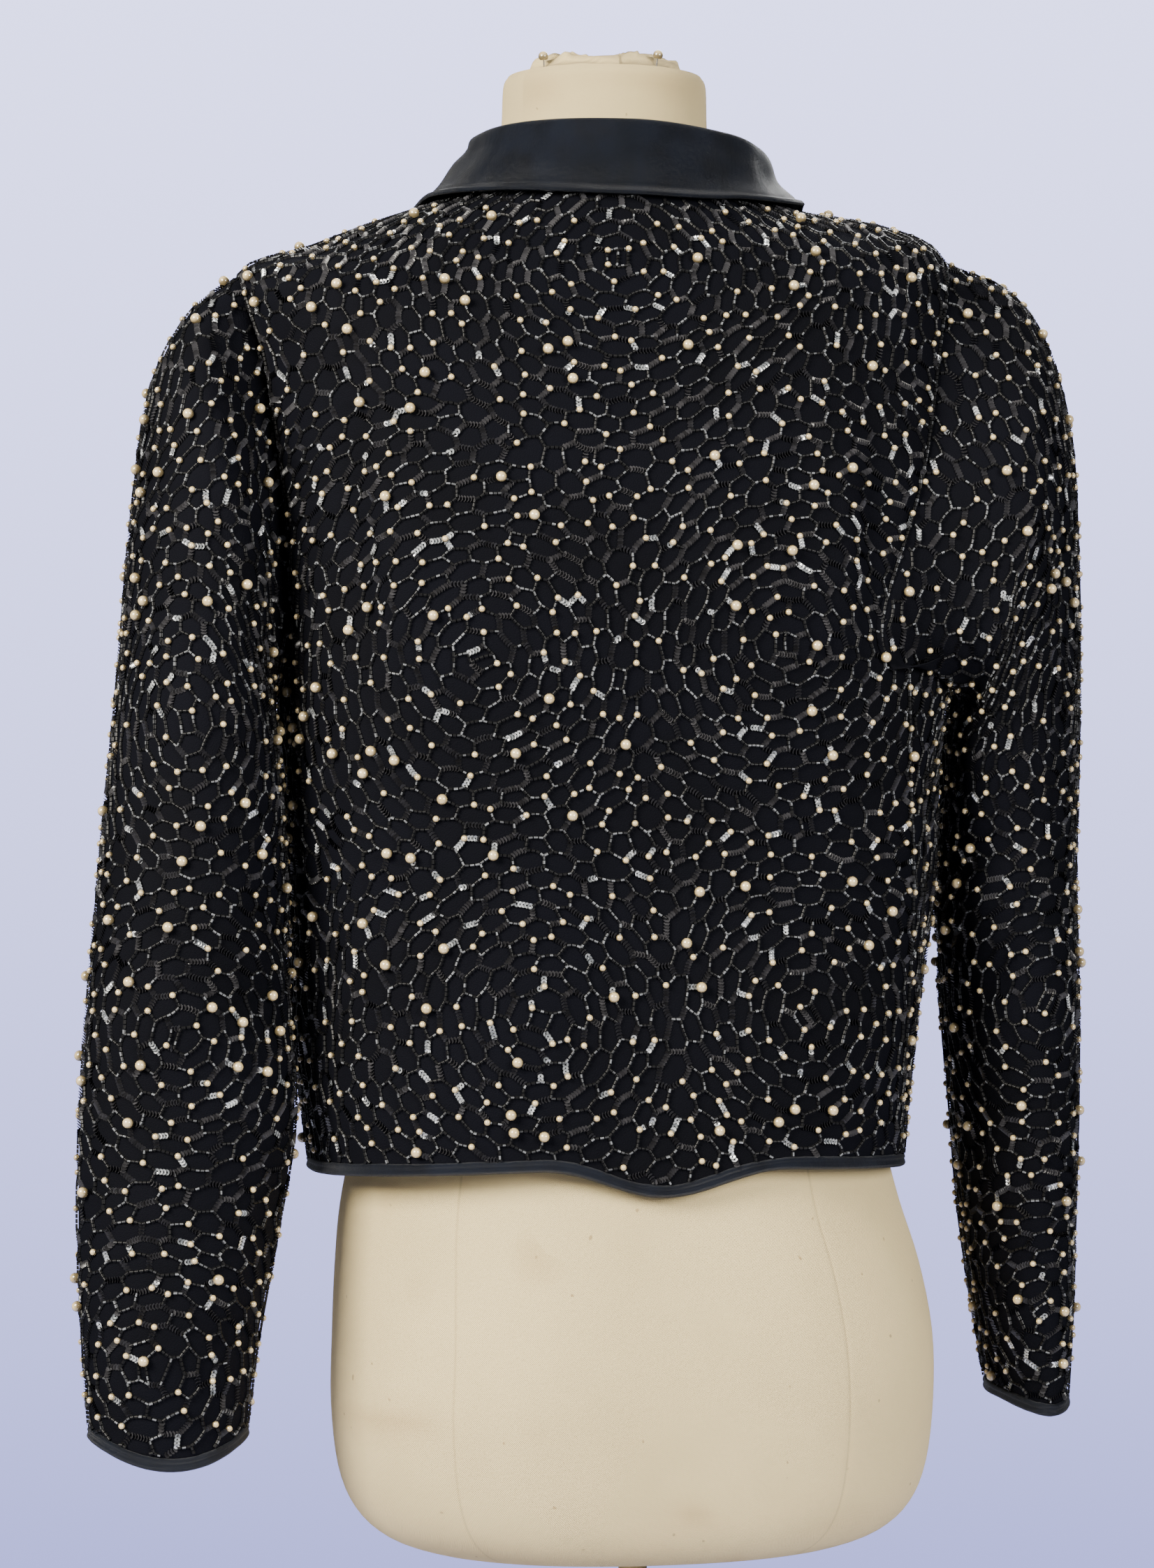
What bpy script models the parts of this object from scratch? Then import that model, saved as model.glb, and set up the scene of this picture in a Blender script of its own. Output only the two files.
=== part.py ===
"""A cropped evening jacket of beaded net on a dark lining, worn by a canvas dress form.

The origin is the middle of the base's underside, on the floor. +Z is up, +X is the wearer's
left and -Y is the front. Sizes are in metres and angles in degrees. Round the body an angle
of 0 is the centre back, 90 the wearer's left side and -90 the wearer's right side.
"""

import math
from collections import namedtuple

import bmesh
import bpy
from mathutils import Vector

# Cloth
WALL = 0.003
SEAM = 0.0003
BINDING_RADIUS = 0.0019

# Stand
BASE_RADIUS = 0.155
BASE_THICKNESS = 0.012
BASE_EDGE = 0.003
POLE_RADIUS = 0.008
POLE_DEPTH_IN_FORM = 0.040
POLE_COLLAR_RADIUS = 0.024
POLE_COLLAR_HEIGHT = 0.030
FIT = 0.0003

# Sections of a rounded body, from the hem or the foot up. A section climbs from its side to
# its back and front, so a shoulder is made of sections that tip. The climb follows a power of
# the distance from the side.
SECTION_CLIMB = 1.2
Section = namedtuple(
    "Section",
    "side_z back_z front_z half_width back_depth front_depth centre_x centre_y squareness",
)

JACKET_SECTIONS = (
    Section(0.4330, 0.4410, 0.4300, 0.1650, 0.112, 0.110, 0.0155, 0.000, 2.8),
    Section(0.4800, 0.4820, 0.4780, 0.1700, 0.110, 0.112, 0.0160, 0.000, 2.8),
    Section(0.5300, 0.5300, 0.5300, 0.1755, 0.107, 0.115, 0.0135, 0.000, 2.8),
    Section(0.5850, 0.5850, 0.5850, 0.1815, 0.106, 0.120, 0.0115, 0.000, 2.8),
    Section(0.6450, 0.6450, 0.6450, 0.1825, 0.108, 0.126, 0.0115, 0.000, 2.8),
    Section(0.7050, 0.7050, 0.7050, 0.1835, 0.111, 0.130, 0.0115, 0.000, 2.8),
    Section(0.7600, 0.7550, 0.7550, 0.1860, 0.112, 0.129, 0.0115, 0.000, 2.7),
    Section(0.8150, 0.8000, 0.8000, 0.1905, 0.109, 0.122, 0.0115, -0.001, 2.6),
    Section(0.8720, 0.8420, 0.8360, 0.1965, 0.104, 0.112, 0.0150, -0.003, 2.45),
    Section(0.9220, 0.8800, 0.8680, 0.2000, 0.098, 0.100, 0.0210, -0.006, 2.3),
    Section(0.9400, 0.9130, 0.8960, 0.1640, 0.090, 0.091, 0.0150, -0.012, 2.15),
    Section(0.9570, 0.9420, 0.9220, 0.1250, 0.079, 0.080, 0.0115, -0.018, 2.05),
    Section(0.9740, 0.9780, 0.9520, 0.0740, 0.064, 0.062, 0.0115, -0.025, 2.0),
)
ARMPIT_ROW = 5
SHOULDER_ROW = 9
NECK_ROW = len(JACKET_SECTIONS) - 1

FORM_SECTIONS = (
    Section(0.2190, 0.2190, 0.2190, 0.100, 0.070, 0.064, 0.000, 0.000, 2.2),
    Section(0.2215, 0.2215, 0.2215, 0.120, 0.086, 0.078, 0.000, 0.000, 2.2),
    Section(0.2290, 0.2290, 0.2290, 0.1405, 0.098, 0.089, 0.000, 0.000, 2.25),
    Section(0.2430, 0.2430, 0.2430, 0.1555, 0.107, 0.097, 0.000, 0.000, 2.3),
    Section(0.2650, 0.2650, 0.2650, 0.1645, 0.113, 0.102, 0.000, 0.000, 2.3),
    Section(0.3000, 0.3000, 0.3000, 0.1685, 0.116, 0.104, 0.000, 0.000, 2.3),
    Section(0.3380, 0.3380, 0.3380, 0.1680, 0.114, 0.104, 0.000, 0.000, 2.3),
    Section(0.3760, 0.3760, 0.3760, 0.1635, 0.110, 0.102, 0.003, 0.000, 2.3),
    Section(0.4100, 0.4100, 0.4100, 0.1565, 0.104, 0.099, 0.007, 0.000, 2.3),
    Section(0.4450, 0.4450, 0.4450, 0.1480, 0.098, 0.096, 0.008, 0.000, 2.3),
    Section(0.5000, 0.5000, 0.5000, 0.1320, 0.088, 0.089, 0.008, 0.000, 2.3),
    Section(0.5600, 0.5600, 0.5600, 0.1230, 0.082, 0.088, 0.010, 0.000, 2.3),
    Section(0.6300, 0.6300, 0.6300, 0.1310, 0.087, 0.099, 0.011, 0.000, 2.3),
    Section(0.7000, 0.7000, 0.7000, 0.1460, 0.095, 0.112, 0.0115, 0.000, 2.3),
    Section(0.7600, 0.7560, 0.7560, 0.1530, 0.098, 0.113, 0.0115, 0.000, 2.3),
    Section(0.8150, 0.8050, 0.8050, 0.1560, 0.096, 0.104, 0.0115, -0.001, 2.3),
    Section(0.8700, 0.8450, 0.8400, 0.1640, 0.091, 0.095, 0.0115, -0.003, 2.3),
    Section(0.9120, 0.8800, 0.8700, 0.1750, 0.086, 0.088, 0.0115, -0.008, 2.2),
)

# Shoulder slope of the form: each row lies just under the jacket's own row of the same width
SHOULDER_DROP = WALL + 0.0010
SHOULDER_CLEARANCE = 0.006
SHOULDER_SLOPE = 22.0
FORM_SHOULDER_ROWS = (9.75, 10.0, 10.5, 11.0, 11.5, 11.8)
FORM_NECK = (
    Section(0.9735, 0.9640, 0.9480, 0.0665, 0.0565, 0.057, 0.0115, -0.025, 2.0),
    Section(0.9900, 0.9840, 0.9740, 0.0605, 0.0545, 0.056, 0.0115, -0.025, 2.0),
    Section(1.0120, 1.0100, 1.0060, 0.0580, 0.0540, 0.055, 0.0112, -0.025, 2.0),
    Section(1.0370, 1.0370, 1.0370, 0.0572, 0.0540, 0.055, 0.0110, -0.025, 2.0),
    Section(1.0430, 1.0430, 1.0430, 0.0510, 0.0480, 0.049, 0.0110, -0.025, 2.0),
    Section(1.0465, 1.0465, 1.0465, 0.0360, 0.0340, 0.035, 0.0110, -0.025, 2.0),
    Section(1.0480, 1.0480, 1.0480, 0.0180, 0.0170, 0.017, 0.0110, -0.025, 2.0),
)

# Armholes: the angle of the oval's middle at its foot and halfway up, and half its width
Armhole = namedtuple("Armhole", "foot_angle middle_angle half_opening")
ARMHOLES = {"left": Armhole(90.0, 100.0, 17.0), "right": Armhole(61.0, 87.0, 22.0)}
SIDE_SIGN = {"left": 1.0, "right": -1.0}
SHOULDER_ANGLE = 90.0
HEM_SEAM_ANGLES = {"left": 86.0, "right": 70.0}
FRONT_EDGE_ANGLE = 179.6

# The right shoulder is carried higher than the left
RIGHT_SHOULDER_RISE = 0.019
RISE_FIRST_ROW = 7.0

# The hem dips at the centre back
HEM_DIP = 0.0155
HEM_DIP_ANGLE = 33.0
HEM_DIP_MIDDLE = -5.0
HEM_DIP_ROWS = 2.0

# Soft folds of the body: where each lies, how far it runs and how deep it is
FOLD_SPREAD = 4
BodyFold = namedtuple("BodyFold", "angle height half_width half_length depth lean")
BODY_FOLDS = (
    BodyFold(-54.0, 0.790, 0.010, 0.105, -0.0050, -6.0),
    BodyFold(-47.0, 0.770, 0.012, 0.090, 0.0030, -4.0),
    BodyFold(-74.0, 0.600, 0.014, 0.120, -0.0070, 4.0),
    BodyFold(-27.0, 0.520, 0.030, 0.090, 0.0025, 3.0),
    BodyFold(30.0, 0.540, 0.032, 0.110, 0.0030, -5.0),
    BodyFold(64.0, 0.770, 0.011, 0.120, -0.0055, 5.0),
    BodyFold(56.0, 0.760, 0.013, 0.100, 0.0035, 5.0),
    BodyFold(74.0, 0.560, 0.016, 0.110, -0.0060, -4.0),
    BodyFold(132.0, 0.800, 0.014, 0.080, -0.0050, -12.0),
    BodyFold(-132.0, 0.800, 0.014, 0.080, -0.0050, 12.0),
    BodyFold(150.0, 0.560, 0.030, 0.120, 0.0045, 4.0),
    BodyFold(-150.0, 0.560, 0.030, 0.120, 0.0045, -4.0),
    BodyFold(120.0, 0.580, 0.024, 0.110, -0.0050, -3.0),
    BodyFold(-120.0, 0.580, 0.024, 0.110, -0.0050, 3.0),
)

# Sleeve rings, from the shoulder down: the ring's point next to the body, the point farthest
# from it and half its depth from front to back. X is counted outwards, on the sleeve's own side.
Ring = namedtuple("Ring", "inner_x inner_y inner_z outer_x outer_y outer_z half_depth")
SLEEVE_RINGS = {
    "left": (
        Ring(0.2005, -0.002, 0.6920, 0.2500, 0.002, 0.8985, 0.0640),
        Ring(0.2010, 0.004, 0.6740, 0.2705, 0.004, 0.8560, 0.0660),
        Ring(0.1985, 0.009, 0.6500, 0.2810, 0.009, 0.7860, 0.0640),
        Ring(0.1970, 0.017, 0.6180, 0.2890, 0.015, 0.6980, 0.0600),
        Ring(0.1960, 0.026, 0.5750, 0.2990, 0.024, 0.6030, 0.0550),
        Ring(0.1955, 0.032, 0.5200, 0.3070, 0.032, 0.5200, 0.0480),
        Ring(0.1935, 0.039, 0.4600, 0.3115, 0.039, 0.4600, 0.0420),
        Ring(0.2040, 0.046, 0.4000, 0.3130, 0.046, 0.4000, 0.0395),
        Ring(0.2145, 0.051, 0.3470, 0.3110, 0.051, 0.3470, 0.0375),
        Ring(0.2215, 0.055, 0.2975, 0.3075, 0.055, 0.2975, 0.0324),
    ),
    "right": (
        Ring(0.1790, 0.046, 0.6940, 0.2240, -0.004, 0.9170, 0.0650),
        Ring(0.1795, 0.034, 0.6750, 0.2495, -0.006, 0.8580, 0.0660),
        Ring(0.1770, 0.021, 0.6500, 0.2570, -0.008, 0.7760, 0.0650),
        Ring(0.1760, 0.009, 0.6180, 0.2585, -0.009, 0.6900, 0.0640),
        Ring(0.1760, -0.002, 0.5750, 0.2590, -0.010, 0.6000, 0.0625),
        Ring(0.1825, -0.010, 0.5240, 0.2595, -0.012, 0.5240, 0.0620),
        Ring(0.1905, -0.016, 0.4600, 0.2600, -0.016, 0.4600, 0.0610),
        Ring(0.1970, -0.021, 0.4000, 0.2600, -0.021, 0.4000, 0.0580),
        Ring(0.2065, -0.026, 0.3440, 0.2600, -0.026, 0.3440, 0.0540),
        Ring(0.2165, -0.030, 0.2950, 0.2580, -0.030, 0.2950, 0.0500),
    ),
}
ARMHOLE_HALF_DEPTH = 0.062
UNTWIST_RINGS = 5.0
SLEEVE_GAP = 0.0004
UNDERARM_LIFT = {"left": 0.0, "right": 0.0018}
CUFF_DROP = {"left": 0.014, "right": 0.006}

# Soft folds of the sleeves: turn is 0 under the arm, 0.25 at the back and 0.5 outside. They
# fade in below the armhole.
SLEEVE_GIRTH = 0.36
FOLD_FADE_RINGS = 0.8
SleeveFold = namedtuple("SleeveFold", "turn height half_width half_length depth lean")
SLEEVE_FOLDS = {
    "left": (
        SleeveFold(0.18, 0.780, 0.012, 0.110, -0.0060, 8.0),
        SleeveFold(0.10, 0.570, 0.012, 0.050, -0.0050, 62.0),
        SleeveFold(0.14, 0.520, 0.012, 0.050, -0.0045, 70.0),
        SleeveFold(0.90, 0.545, 0.012, 0.060, -0.0050, -65.0),
        SleeveFold(0.86, 0.500, 0.012, 0.055, -0.0045, -60.0),
        SleeveFold(0.36, 0.640, 0.020, 0.090, -0.0030, 10.0),
    ),
    "right": (
        SleeveFold(0.22, 0.780, 0.010, 0.110, -0.0060, -4.0),
        SleeveFold(0.31, 0.760, 0.010, 0.100, -0.0045, -6.0),
        SleeveFold(0.12, 0.600, 0.012, 0.055, -0.0045, 66.0),
        SleeveFold(0.16, 0.530, 0.012, 0.050, -0.0040, 60.0),
        SleeveFold(0.88, 0.560, 0.012, 0.060, -0.0050, -62.0),
        SleeveFold(0.40, 0.600, 0.020, 0.090, -0.0025, -8.0),
    ),
}

# Collar, round the neck from the back: the height of its fold above the neckline, how far the
# fold and the outer edge stand out, the jacket row over which the outer edge lies
CollarStation = namedtuple("CollarStation", "angle fold_rise fold_out edge_row")
COLLAR_WALL = 0.0022
COLLAR_LIFT = 0.0022
COLLAR_STATIONS = (
    CollarStation(-177.5, 0.0130, 0.0040, 9.15),
    CollarStation(-150.0, 0.0150, 0.0080, 10.00),
    CollarStation(-115.0, 0.0180, 0.0130, 11.05),
    CollarStation(-85.0, 0.0210, 0.0155, 11.33),
    CollarStation(-45.0, 0.0235, 0.0150, 11.55),
    CollarStation(0.0, 0.0260, 0.0130, 11.63),
    CollarStation(45.0, 0.0275, 0.0090, 11.64),
    CollarStation(85.0, 0.0280, 0.0020, 11.60),
    CollarStation(115.0, 0.0200, 0.0040, 11.20),
    CollarStation(150.0, 0.0150, 0.0060, 10.00),
    CollarStation(177.5, 0.0130, 0.0040, 9.15),
)
COLLAR_COLUMNS = 30
COLLAR_FOLD_RADIUS = 0.0042
COLLAR_STAND_SHARE = 0.4
COLLAR_CREST_DROP = 0.7
COLLAR_FALL_SHARES = (0.22, 0.48, 0.74, 1.0)
COLLAR_FALL_POWER = 1.5
COLLAR_END = 0.5

# Mesh steps
BACK_COLUMNS = 26
FRONT_COLUMNS = 12
SKIRT_STEPS = 8
ARMHOLE_STEPS = 12
YOKE_STEPS = 6
SLEEVE_STEPS = 20
FORM_COLUMNS = 32
BASE_SEGMENTS = 48
POLE_SEGMENTS = 24
POLE_COLLAR_SEGMENTS = 32
SHARP_ANGLE = 50.0

# Small steps by which a surface's slope is read: degrees and rows on the body, turns and rings
# on a sleeve
BODY_STEP = (0.4, 0.04)
SLEEVE_STEP = (0.01, 0.05)
ARMHOLE_STEP = 0.002

# Finishes: base colour, roughness, metallic
FINISHES = {
    "beaded_net": ((0.012, 0.013, 0.018, 1.0), 0.55, 0.0),
    "satin": ((0.010, 0.014, 0.018, 1.0), 0.35, 0.0),
    "canvas": ((0.74, 0.66, 0.50, 1.0), 0.85, 0.0),
    "brass": ((0.62, 0.47, 0.22, 1.0), 0.30, 1.0),
    "base_enamel": ((0.030, 0.028, 0.026, 1.0), 0.45, 0.0),
}


def clear_scene():
    """Remove what the file holds at the start."""
    for item in list(bpy.data.objects):
        bpy.data.objects.remove(item, do_unlink=True)


def new_collection(name):
    """Make a collection in the scene."""
    collection = bpy.data.collections.new(name)
    bpy.context.scene.collection.children.link(collection)
    return collection


def make_object(name, data, finish, collection):
    """Put a mesh or curve in the collection as a named object with its own plain material."""
    piece = bpy.data.objects.new(name, data)
    colour, roughness, metallic = FINISHES[finish]
    material = bpy.data.materials.new(f"{name}_{finish}")
    material.use_nodes = True
    shader = material.node_tree.nodes["Principled BSDF"]
    shader.inputs["Base Color"].default_value = colour
    shader.inputs["Roughness"].default_value = roughness
    shader.inputs["Metallic"].default_value = metallic
    data.materials.append(material)
    collection.objects.link(piece)
    return piece


def mesh_from(name, shape):
    """Turn a shape of hand-made faces into a mesh that is smooth but for its sharp edges."""
    mesh = bpy.data.meshes.new(name)
    shape.to_mesh(mesh)
    shape.free()
    mesh.shade_smooth()
    mesh.set_sharp_from_angle(angle=math.radians(SHARP_ANGLE))
    return mesh


def spline(values, position):
    """Read a smooth curve through evenly numbered values, at a position counted in values."""
    last = len(values) - 1
    position = min(max(position, 0.0), float(last))
    first = min(int(position), last - 1)
    part = position - first
    start = values[first]
    end = values[first + 1]
    before = values[first - 1] if first > 0 else 2 * start - end
    after = values[first + 2] if first + 2 <= last else 2 * end - start
    return 0.5 * (
        2 * start
        + (end - before) * part
        + (2 * before - 5 * start + 4 * end - after) * part ** 2
        + (3 * start - before - 3 * end + after) * part ** 3
    )


def ease(value):
    """Rise smoothly from 0 to 1."""
    value = min(max(value, 0.0), 1.0)
    return value * value * (3 - 2 * value)


def section_at(sections, row):
    """Read the section at a row, which may lie between two rows of the table."""
    return Section(*(spline(column, row) for column in zip(*sections)))


def section_radius(section, angle):
    """Distance from a section's middle to its outline, in the direction of an angle."""
    depth = section.back_depth if math.cos(angle) > 0 else section.front_depth
    across = abs(math.sin(angle)) / section.half_width
    along = abs(math.cos(angle)) / depth
    return (across ** section.squareness + along ** section.squareness) ** (-1 / section.squareness)


def section_point(section, degrees, out=0.0):
    """Point of a section's outline, moved outwards by a distance."""
    angle = math.radians(degrees)
    radius = section_radius(section, angle) + out
    end_z = section.back_z if math.cos(angle) > 0 else section.front_z
    height = section.side_z + (end_z - section.side_z) * abs(math.cos(angle)) ** SECTION_CLIMB
    return Vector((
        section.centre_x + radius * math.sin(angle),
        section.centre_y + radius * math.cos(angle),
        height,
    ))


def fold_relief(fold, along, height):
    """Depth of one fold at a place given by its distance across and its height."""
    rise = height - fold.height
    lean = math.radians(fold.lean)
    across = along * math.cos(lean) - rise * math.sin(lean)
    down = along * math.sin(lean) + rise * math.cos(lean)
    if abs(down) >= fold.half_length:
        return 0.0
    swell = math.cos(0.5 * math.pi * down / fold.half_length) ** 2
    return fold.depth * swell * math.exp(-((across / fold.half_width) ** 2))


def right_shoulder_rise(degrees, row):
    """Extra height of the right shoulder, which sits higher than the left."""
    aside = max(-math.sin(math.radians(degrees)), 0.0) ** 3
    share = min(max((row - RISE_FIRST_ROW) / (NECK_ROW - RISE_FIRST_ROW), 0.0), 1.0)
    return RIGHT_SHOULDER_RISE * aside * math.sin(math.pi * share) ** 2


def body_point(degrees, row):
    """Point of the jacket's outer face at an angle round the body and a row of the table."""
    section = section_at(JACKET_SECTIONS, row)
    plain = section_point(section, degrees)
    radius = section_radius(section, math.radians(degrees))
    relief = 0.0
    for fold in BODY_FOLDS:
        along = math.radians(degrees - fold.angle) * radius
        if abs(along) < FOLD_SPREAD * fold.half_width:
            relief += fold_relief(fold, along, plain.z)
    point = section_point(section, degrees, relief)
    aside = min(abs(degrees - HEM_DIP_MIDDLE) / HEM_DIP_ANGLE, 1.0)
    point.z -= HEM_DIP * math.cos(0.5 * math.pi * aside) ** 2 * (1 - ease(row / HEM_DIP_ROWS))
    point.z += right_shoulder_rise(degrees, row)
    return point


def outward(surface, first, second, step):
    """Outward direction of a surface whose first number runs round and second runs up."""
    around = surface(first + step[0], second) - surface(first - step[0], second)
    up = surface(first, second + step[1]) - surface(first, second - step[1])
    return up.cross(around).normalized()


def body_normal(degrees, row):
    """Outward direction of the jacket's outer face."""
    return outward(body_point, degrees, row, BODY_STEP)


def armhole_angle(side, turn):
    """Angle of the armhole's edge: turn is 0 at its foot, 0.25 at the back, 0.5 at the top."""
    hole = ARMHOLES[side]
    climb = -math.cos(2 * math.pi * turn)
    slant = 0.5 * (SHOULDER_ANGLE - hole.foot_angle)
    bow = 0.5 * (SHOULDER_ANGLE + hole.foot_angle) - hole.middle_angle
    middle = hole.middle_angle + slant * climb + bow * climb ** 2
    return middle - hole.half_opening * math.sin(2 * math.pi * turn)


def armhole_row(turn):
    """Row of the jacket table that the armhole's edge passes."""
    climb = -math.cos(2 * math.pi * turn)
    return ARMPIT_ROW + 0.5 * (climb + 1) * (SHOULDER_ROW - ARMPIT_ROW)


def panel_rows():
    """Rows of a panel, each with its turn at the armhole, or None away from it."""
    rows = []
    for step in range(SKIRT_STEPS):
        rows.append((ARMPIT_ROW * step / SKIRT_STEPS, None))
    for step in range(ARMHOLE_STEPS + 1):
        turn = 0.5 * step / ARMHOLE_STEPS
        rows.append((armhole_row(turn), turn))
    for step in range(1, YOKE_STEPS + 1):
        rows.append((SHOULDER_ROW + (NECK_ROW - SHOULDER_ROW) * step / YOKE_STEPS, None))
    return rows


def edge_angle(side, row, turn, panel):
    """Angle at which a panel ends: at the side seam, the armhole or the shoulder seam."""
    if turn is not None:
        return armhole_angle(side, turn if panel == "back" else 1 - turn)
    if row > SHOULDER_ROW:
        return SHOULDER_ANGLE
    share = row / ARMPIT_ROW
    hem = HEM_SEAM_ANGLES[side]
    return hem + (ARMHOLES[side].foot_angle - hem) * share


def seam_turn(degrees, row):
    """Angle taken up by half a seam's gap at a place on the body."""
    section = section_at(JACKET_SECTIONS, row)
    return math.degrees(0.5 * SEAM / section_radius(section, math.radians(degrees)))


def wall_mesh(name, outer, inner, closed):
    """Closed wall between two grids of points, rows of columns; closed joins the columns round."""
    shape = bmesh.new()
    skins = [[[shape.verts.new(point) for point in row] for row in grid] for grid in (outer, inner)]
    face, back = skins
    rows = len(outer)
    columns = len(outer[0])
    spans = columns if closed else columns - 1
    for skin in skins:
        for row in range(rows - 1):
            for column in range(spans):
                after = (column + 1) % columns
                shape.faces.new((skin[row][column], skin[row + 1][column],
                                 skin[row + 1][after], skin[row][after]))
    for row in (0, rows - 1):
        for column in range(spans):
            after = (column + 1) % columns
            shape.faces.new((face[row][column], face[row][after],
                             back[row][after], back[row][column]))
    if not closed:
        for column in (0, columns - 1):
            for row in range(rows - 1):
                shape.faces.new((face[row][column], face[row + 1][column],
                                 back[row + 1][column], back[row][column]))
    bmesh.ops.recalc_face_normals(shape, faces=shape.faces)
    return mesh_from(name, shape)


def panel_grids(first_angle, last_angle, columns):
    """Outer and inner points of a panel between two edges, each an angle for a row and turn."""
    outer = []
    inner = []
    for row, turn in panel_rows():
        start = first_angle(row, turn)
        end = last_angle(row, turn)
        outer_row = []
        inner_row = []
        for column in range(columns + 1):
            degrees = start + (end - start) * column / columns
            point = body_point(degrees, row)
            outer_row.append(point)
            inner_row.append(point - WALL * body_normal(degrees, row))
        outer.append(outer_row)
        inner.append(inner_row)
    return outer, inner


def make_back(collection):
    """The back, one piece from side seam to side seam."""
    def right_edge(row, turn):
        edge = edge_angle("right", row, turn, "back")
        return seam_turn(edge, row) - edge

    def left_edge(row, turn):
        edge = edge_angle("left", row, turn, "back")
        return edge - seam_turn(edge, row)

    outer, inner = panel_grids(right_edge, left_edge, BACK_COLUMNS)
    make_object("back", wall_mesh("back", outer, inner, False), "beaded_net", collection)


def make_front(side, collection):
    """One front, from its side seam to the centre front."""
    sign = SIDE_SIGN[side]

    def seam_edge(row, turn):
        edge = edge_angle(side, row, turn, "front")
        return sign * (edge + seam_turn(edge, row))

    def centre_edge(row, turn):
        return sign * FRONT_EDGE_ANGLE

    outer, inner = panel_grids(seam_edge, centre_edge, FRONT_COLUMNS)
    name = f"front_{side}"
    make_object(name, wall_mesh(name, outer, inner, False), "beaded_net", collection)


def armhole_edge(side, turn):
    """Point of the armhole's edge on the body's outer face."""
    return body_point(SIDE_SIGN[side] * armhole_angle(side, turn), armhole_row(turn))


def sleeve_start(side, turn):
    """First point of the sleeve: the armhole's edge, moved a seam's gap into it and out of it."""
    edge = armhole_edge(side, turn)
    normal = body_normal(SIDE_SIGN[side] * armhole_angle(side, turn), armhole_row(turn))
    tangent = armhole_edge(side, turn + ARMHOLE_STEP) - armhole_edge(side, turn - ARMHOLE_STEP)
    into = normal.cross(tangent).normalized()
    middle = 0.5 * (armhole_edge(side, 0.0) + armhole_edge(side, 0.5))
    if into.dot(middle - edge) < 0:
        into = -into
    lift = UNDERARM_LIFT[side] * max(math.cos(2 * math.pi * turn), 0.0)
    return edge + (SLEEVE_GAP + lift) * (normal + into)


def sleeve_angle(side, turn, ring):
    """Angle round a sleeve ring: even below the elbow, led by the armhole above it."""
    foot = armhole_edge(side, 0.0)
    top = armhole_edge(side, 0.5)
    axis = 0.5 * (top - foot)
    from_middle = armhole_edge(side, turn) - 0.5 * (foot + top)
    reach = Vector((from_middle.x, 0.0, from_middle.z)).dot(Vector((axis.x, 0.0, axis.z)))
    reach /= axis.x ** 2 + axis.z ** 2
    led = math.atan2((from_middle.y - reach * axis.y) / ARMHOLE_HALF_DEPTH, reach)
    even = math.pi - 2 * math.pi * turn
    twist = (led - even + math.pi) % (2 * math.pi) - math.pi
    return even + twist * (1 - ease(ring / UNTWIST_RINGS))


def ring_point(side, turn, ring):
    """Point of one sleeve ring; ring 0 is the armhole."""
    if ring == 0:
        return sleeve_start(side, turn)
    sizes = SLEEVE_RINGS[side][ring - 1]
    angle = sleeve_angle(side, turn, ring)
    sign = SIDE_SIGN[side]
    inner = Vector((sign * sizes.inner_x, sizes.inner_y, sizes.inner_z))
    outer = Vector((sign * sizes.outer_x, sizes.outer_y, sizes.outer_z))
    point = 0.5 * (inner + outer) + 0.5 * (outer - inner) * math.cos(angle)
    point.y += sizes.half_depth * math.sin(angle)
    if ring == len(SLEEVE_RINGS[side]):
        point.z -= CUFF_DROP[side] * max(math.sin(angle), 0.0) ** 2
    return point


def sleeve_curve(side, turn):
    """Points of every ring at one turn."""
    return [ring_point(side, turn, ring) for ring in range(len(SLEEVE_RINGS[side]) + 1)]


def sleeve_surface(side):
    """Surface of a sleeve's outer face, as a function of turn and ring."""
    curves = {}

    def plain(turn, ring):
        key = round(turn % 1.0, 6)
        if key not in curves:
            curves[key] = sleeve_curve(side, key)
        return spline(curves[key], ring)

    def surface(turn, ring):
        point = plain(turn, ring)
        relief = 0.0
        for fold in SLEEVE_FOLDS[side]:
            along = ((turn - fold.turn + 0.5) % 1.0 - 0.5) * SLEEVE_GIRTH
            if abs(along) < FOLD_SPREAD * fold.half_width:
                relief += fold_relief(fold, along, point.z)
        if relief == 0.0:
            return point
        normal = -SIDE_SIGN[side] * outward(plain, turn, ring, SLEEVE_STEP)
        return point + normal * relief * ease(ring / FOLD_FADE_RINGS)

    return surface


def make_sleeve(side, collection):
    """One sleeve, a tube from the armhole to the cuff."""
    surface = sleeve_surface(side)
    columns = 2 * ARMHOLE_STEPS
    rings = len(SLEEVE_RINGS[side])
    outer = []
    inner = []
    for step in range(SLEEVE_STEPS + 1):
        ring = rings * step / SLEEVE_STEPS
        outer_row = []
        inner_row = []
        for column in range(columns):
            turn = column / columns
            point = surface(turn, ring)
            normal = -SIDE_SIGN[side] * outward(surface, turn, ring, SLEEVE_STEP)
            outer_row.append(point)
            inner_row.append(point - WALL * normal)
        outer.append(outer_row)
        inner.append(inner_row)
    name = f"sleeve_{side}"
    make_object(name, wall_mesh(name, outer, inner, True), "beaded_net", collection)


def make_binding(name, points, cyclic, collection):
    """A round satin binding along a line of points."""
    curve = bpy.data.curves.new(name, "CURVE")
    curve.dimensions = "3D"
    curve.bevel_depth = BINDING_RADIUS
    curve.bevel_resolution = 1
    curve.use_fill_caps = not cyclic
    line = curve.splines.new("POLY")
    line.points.add(len(points) - 1)
    for place, point in zip(line.points, points):
        place.co = (*point, 1.0)
    line.use_cyclic_u = cyclic
    make_object(name, curve, "satin", collection)


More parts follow.
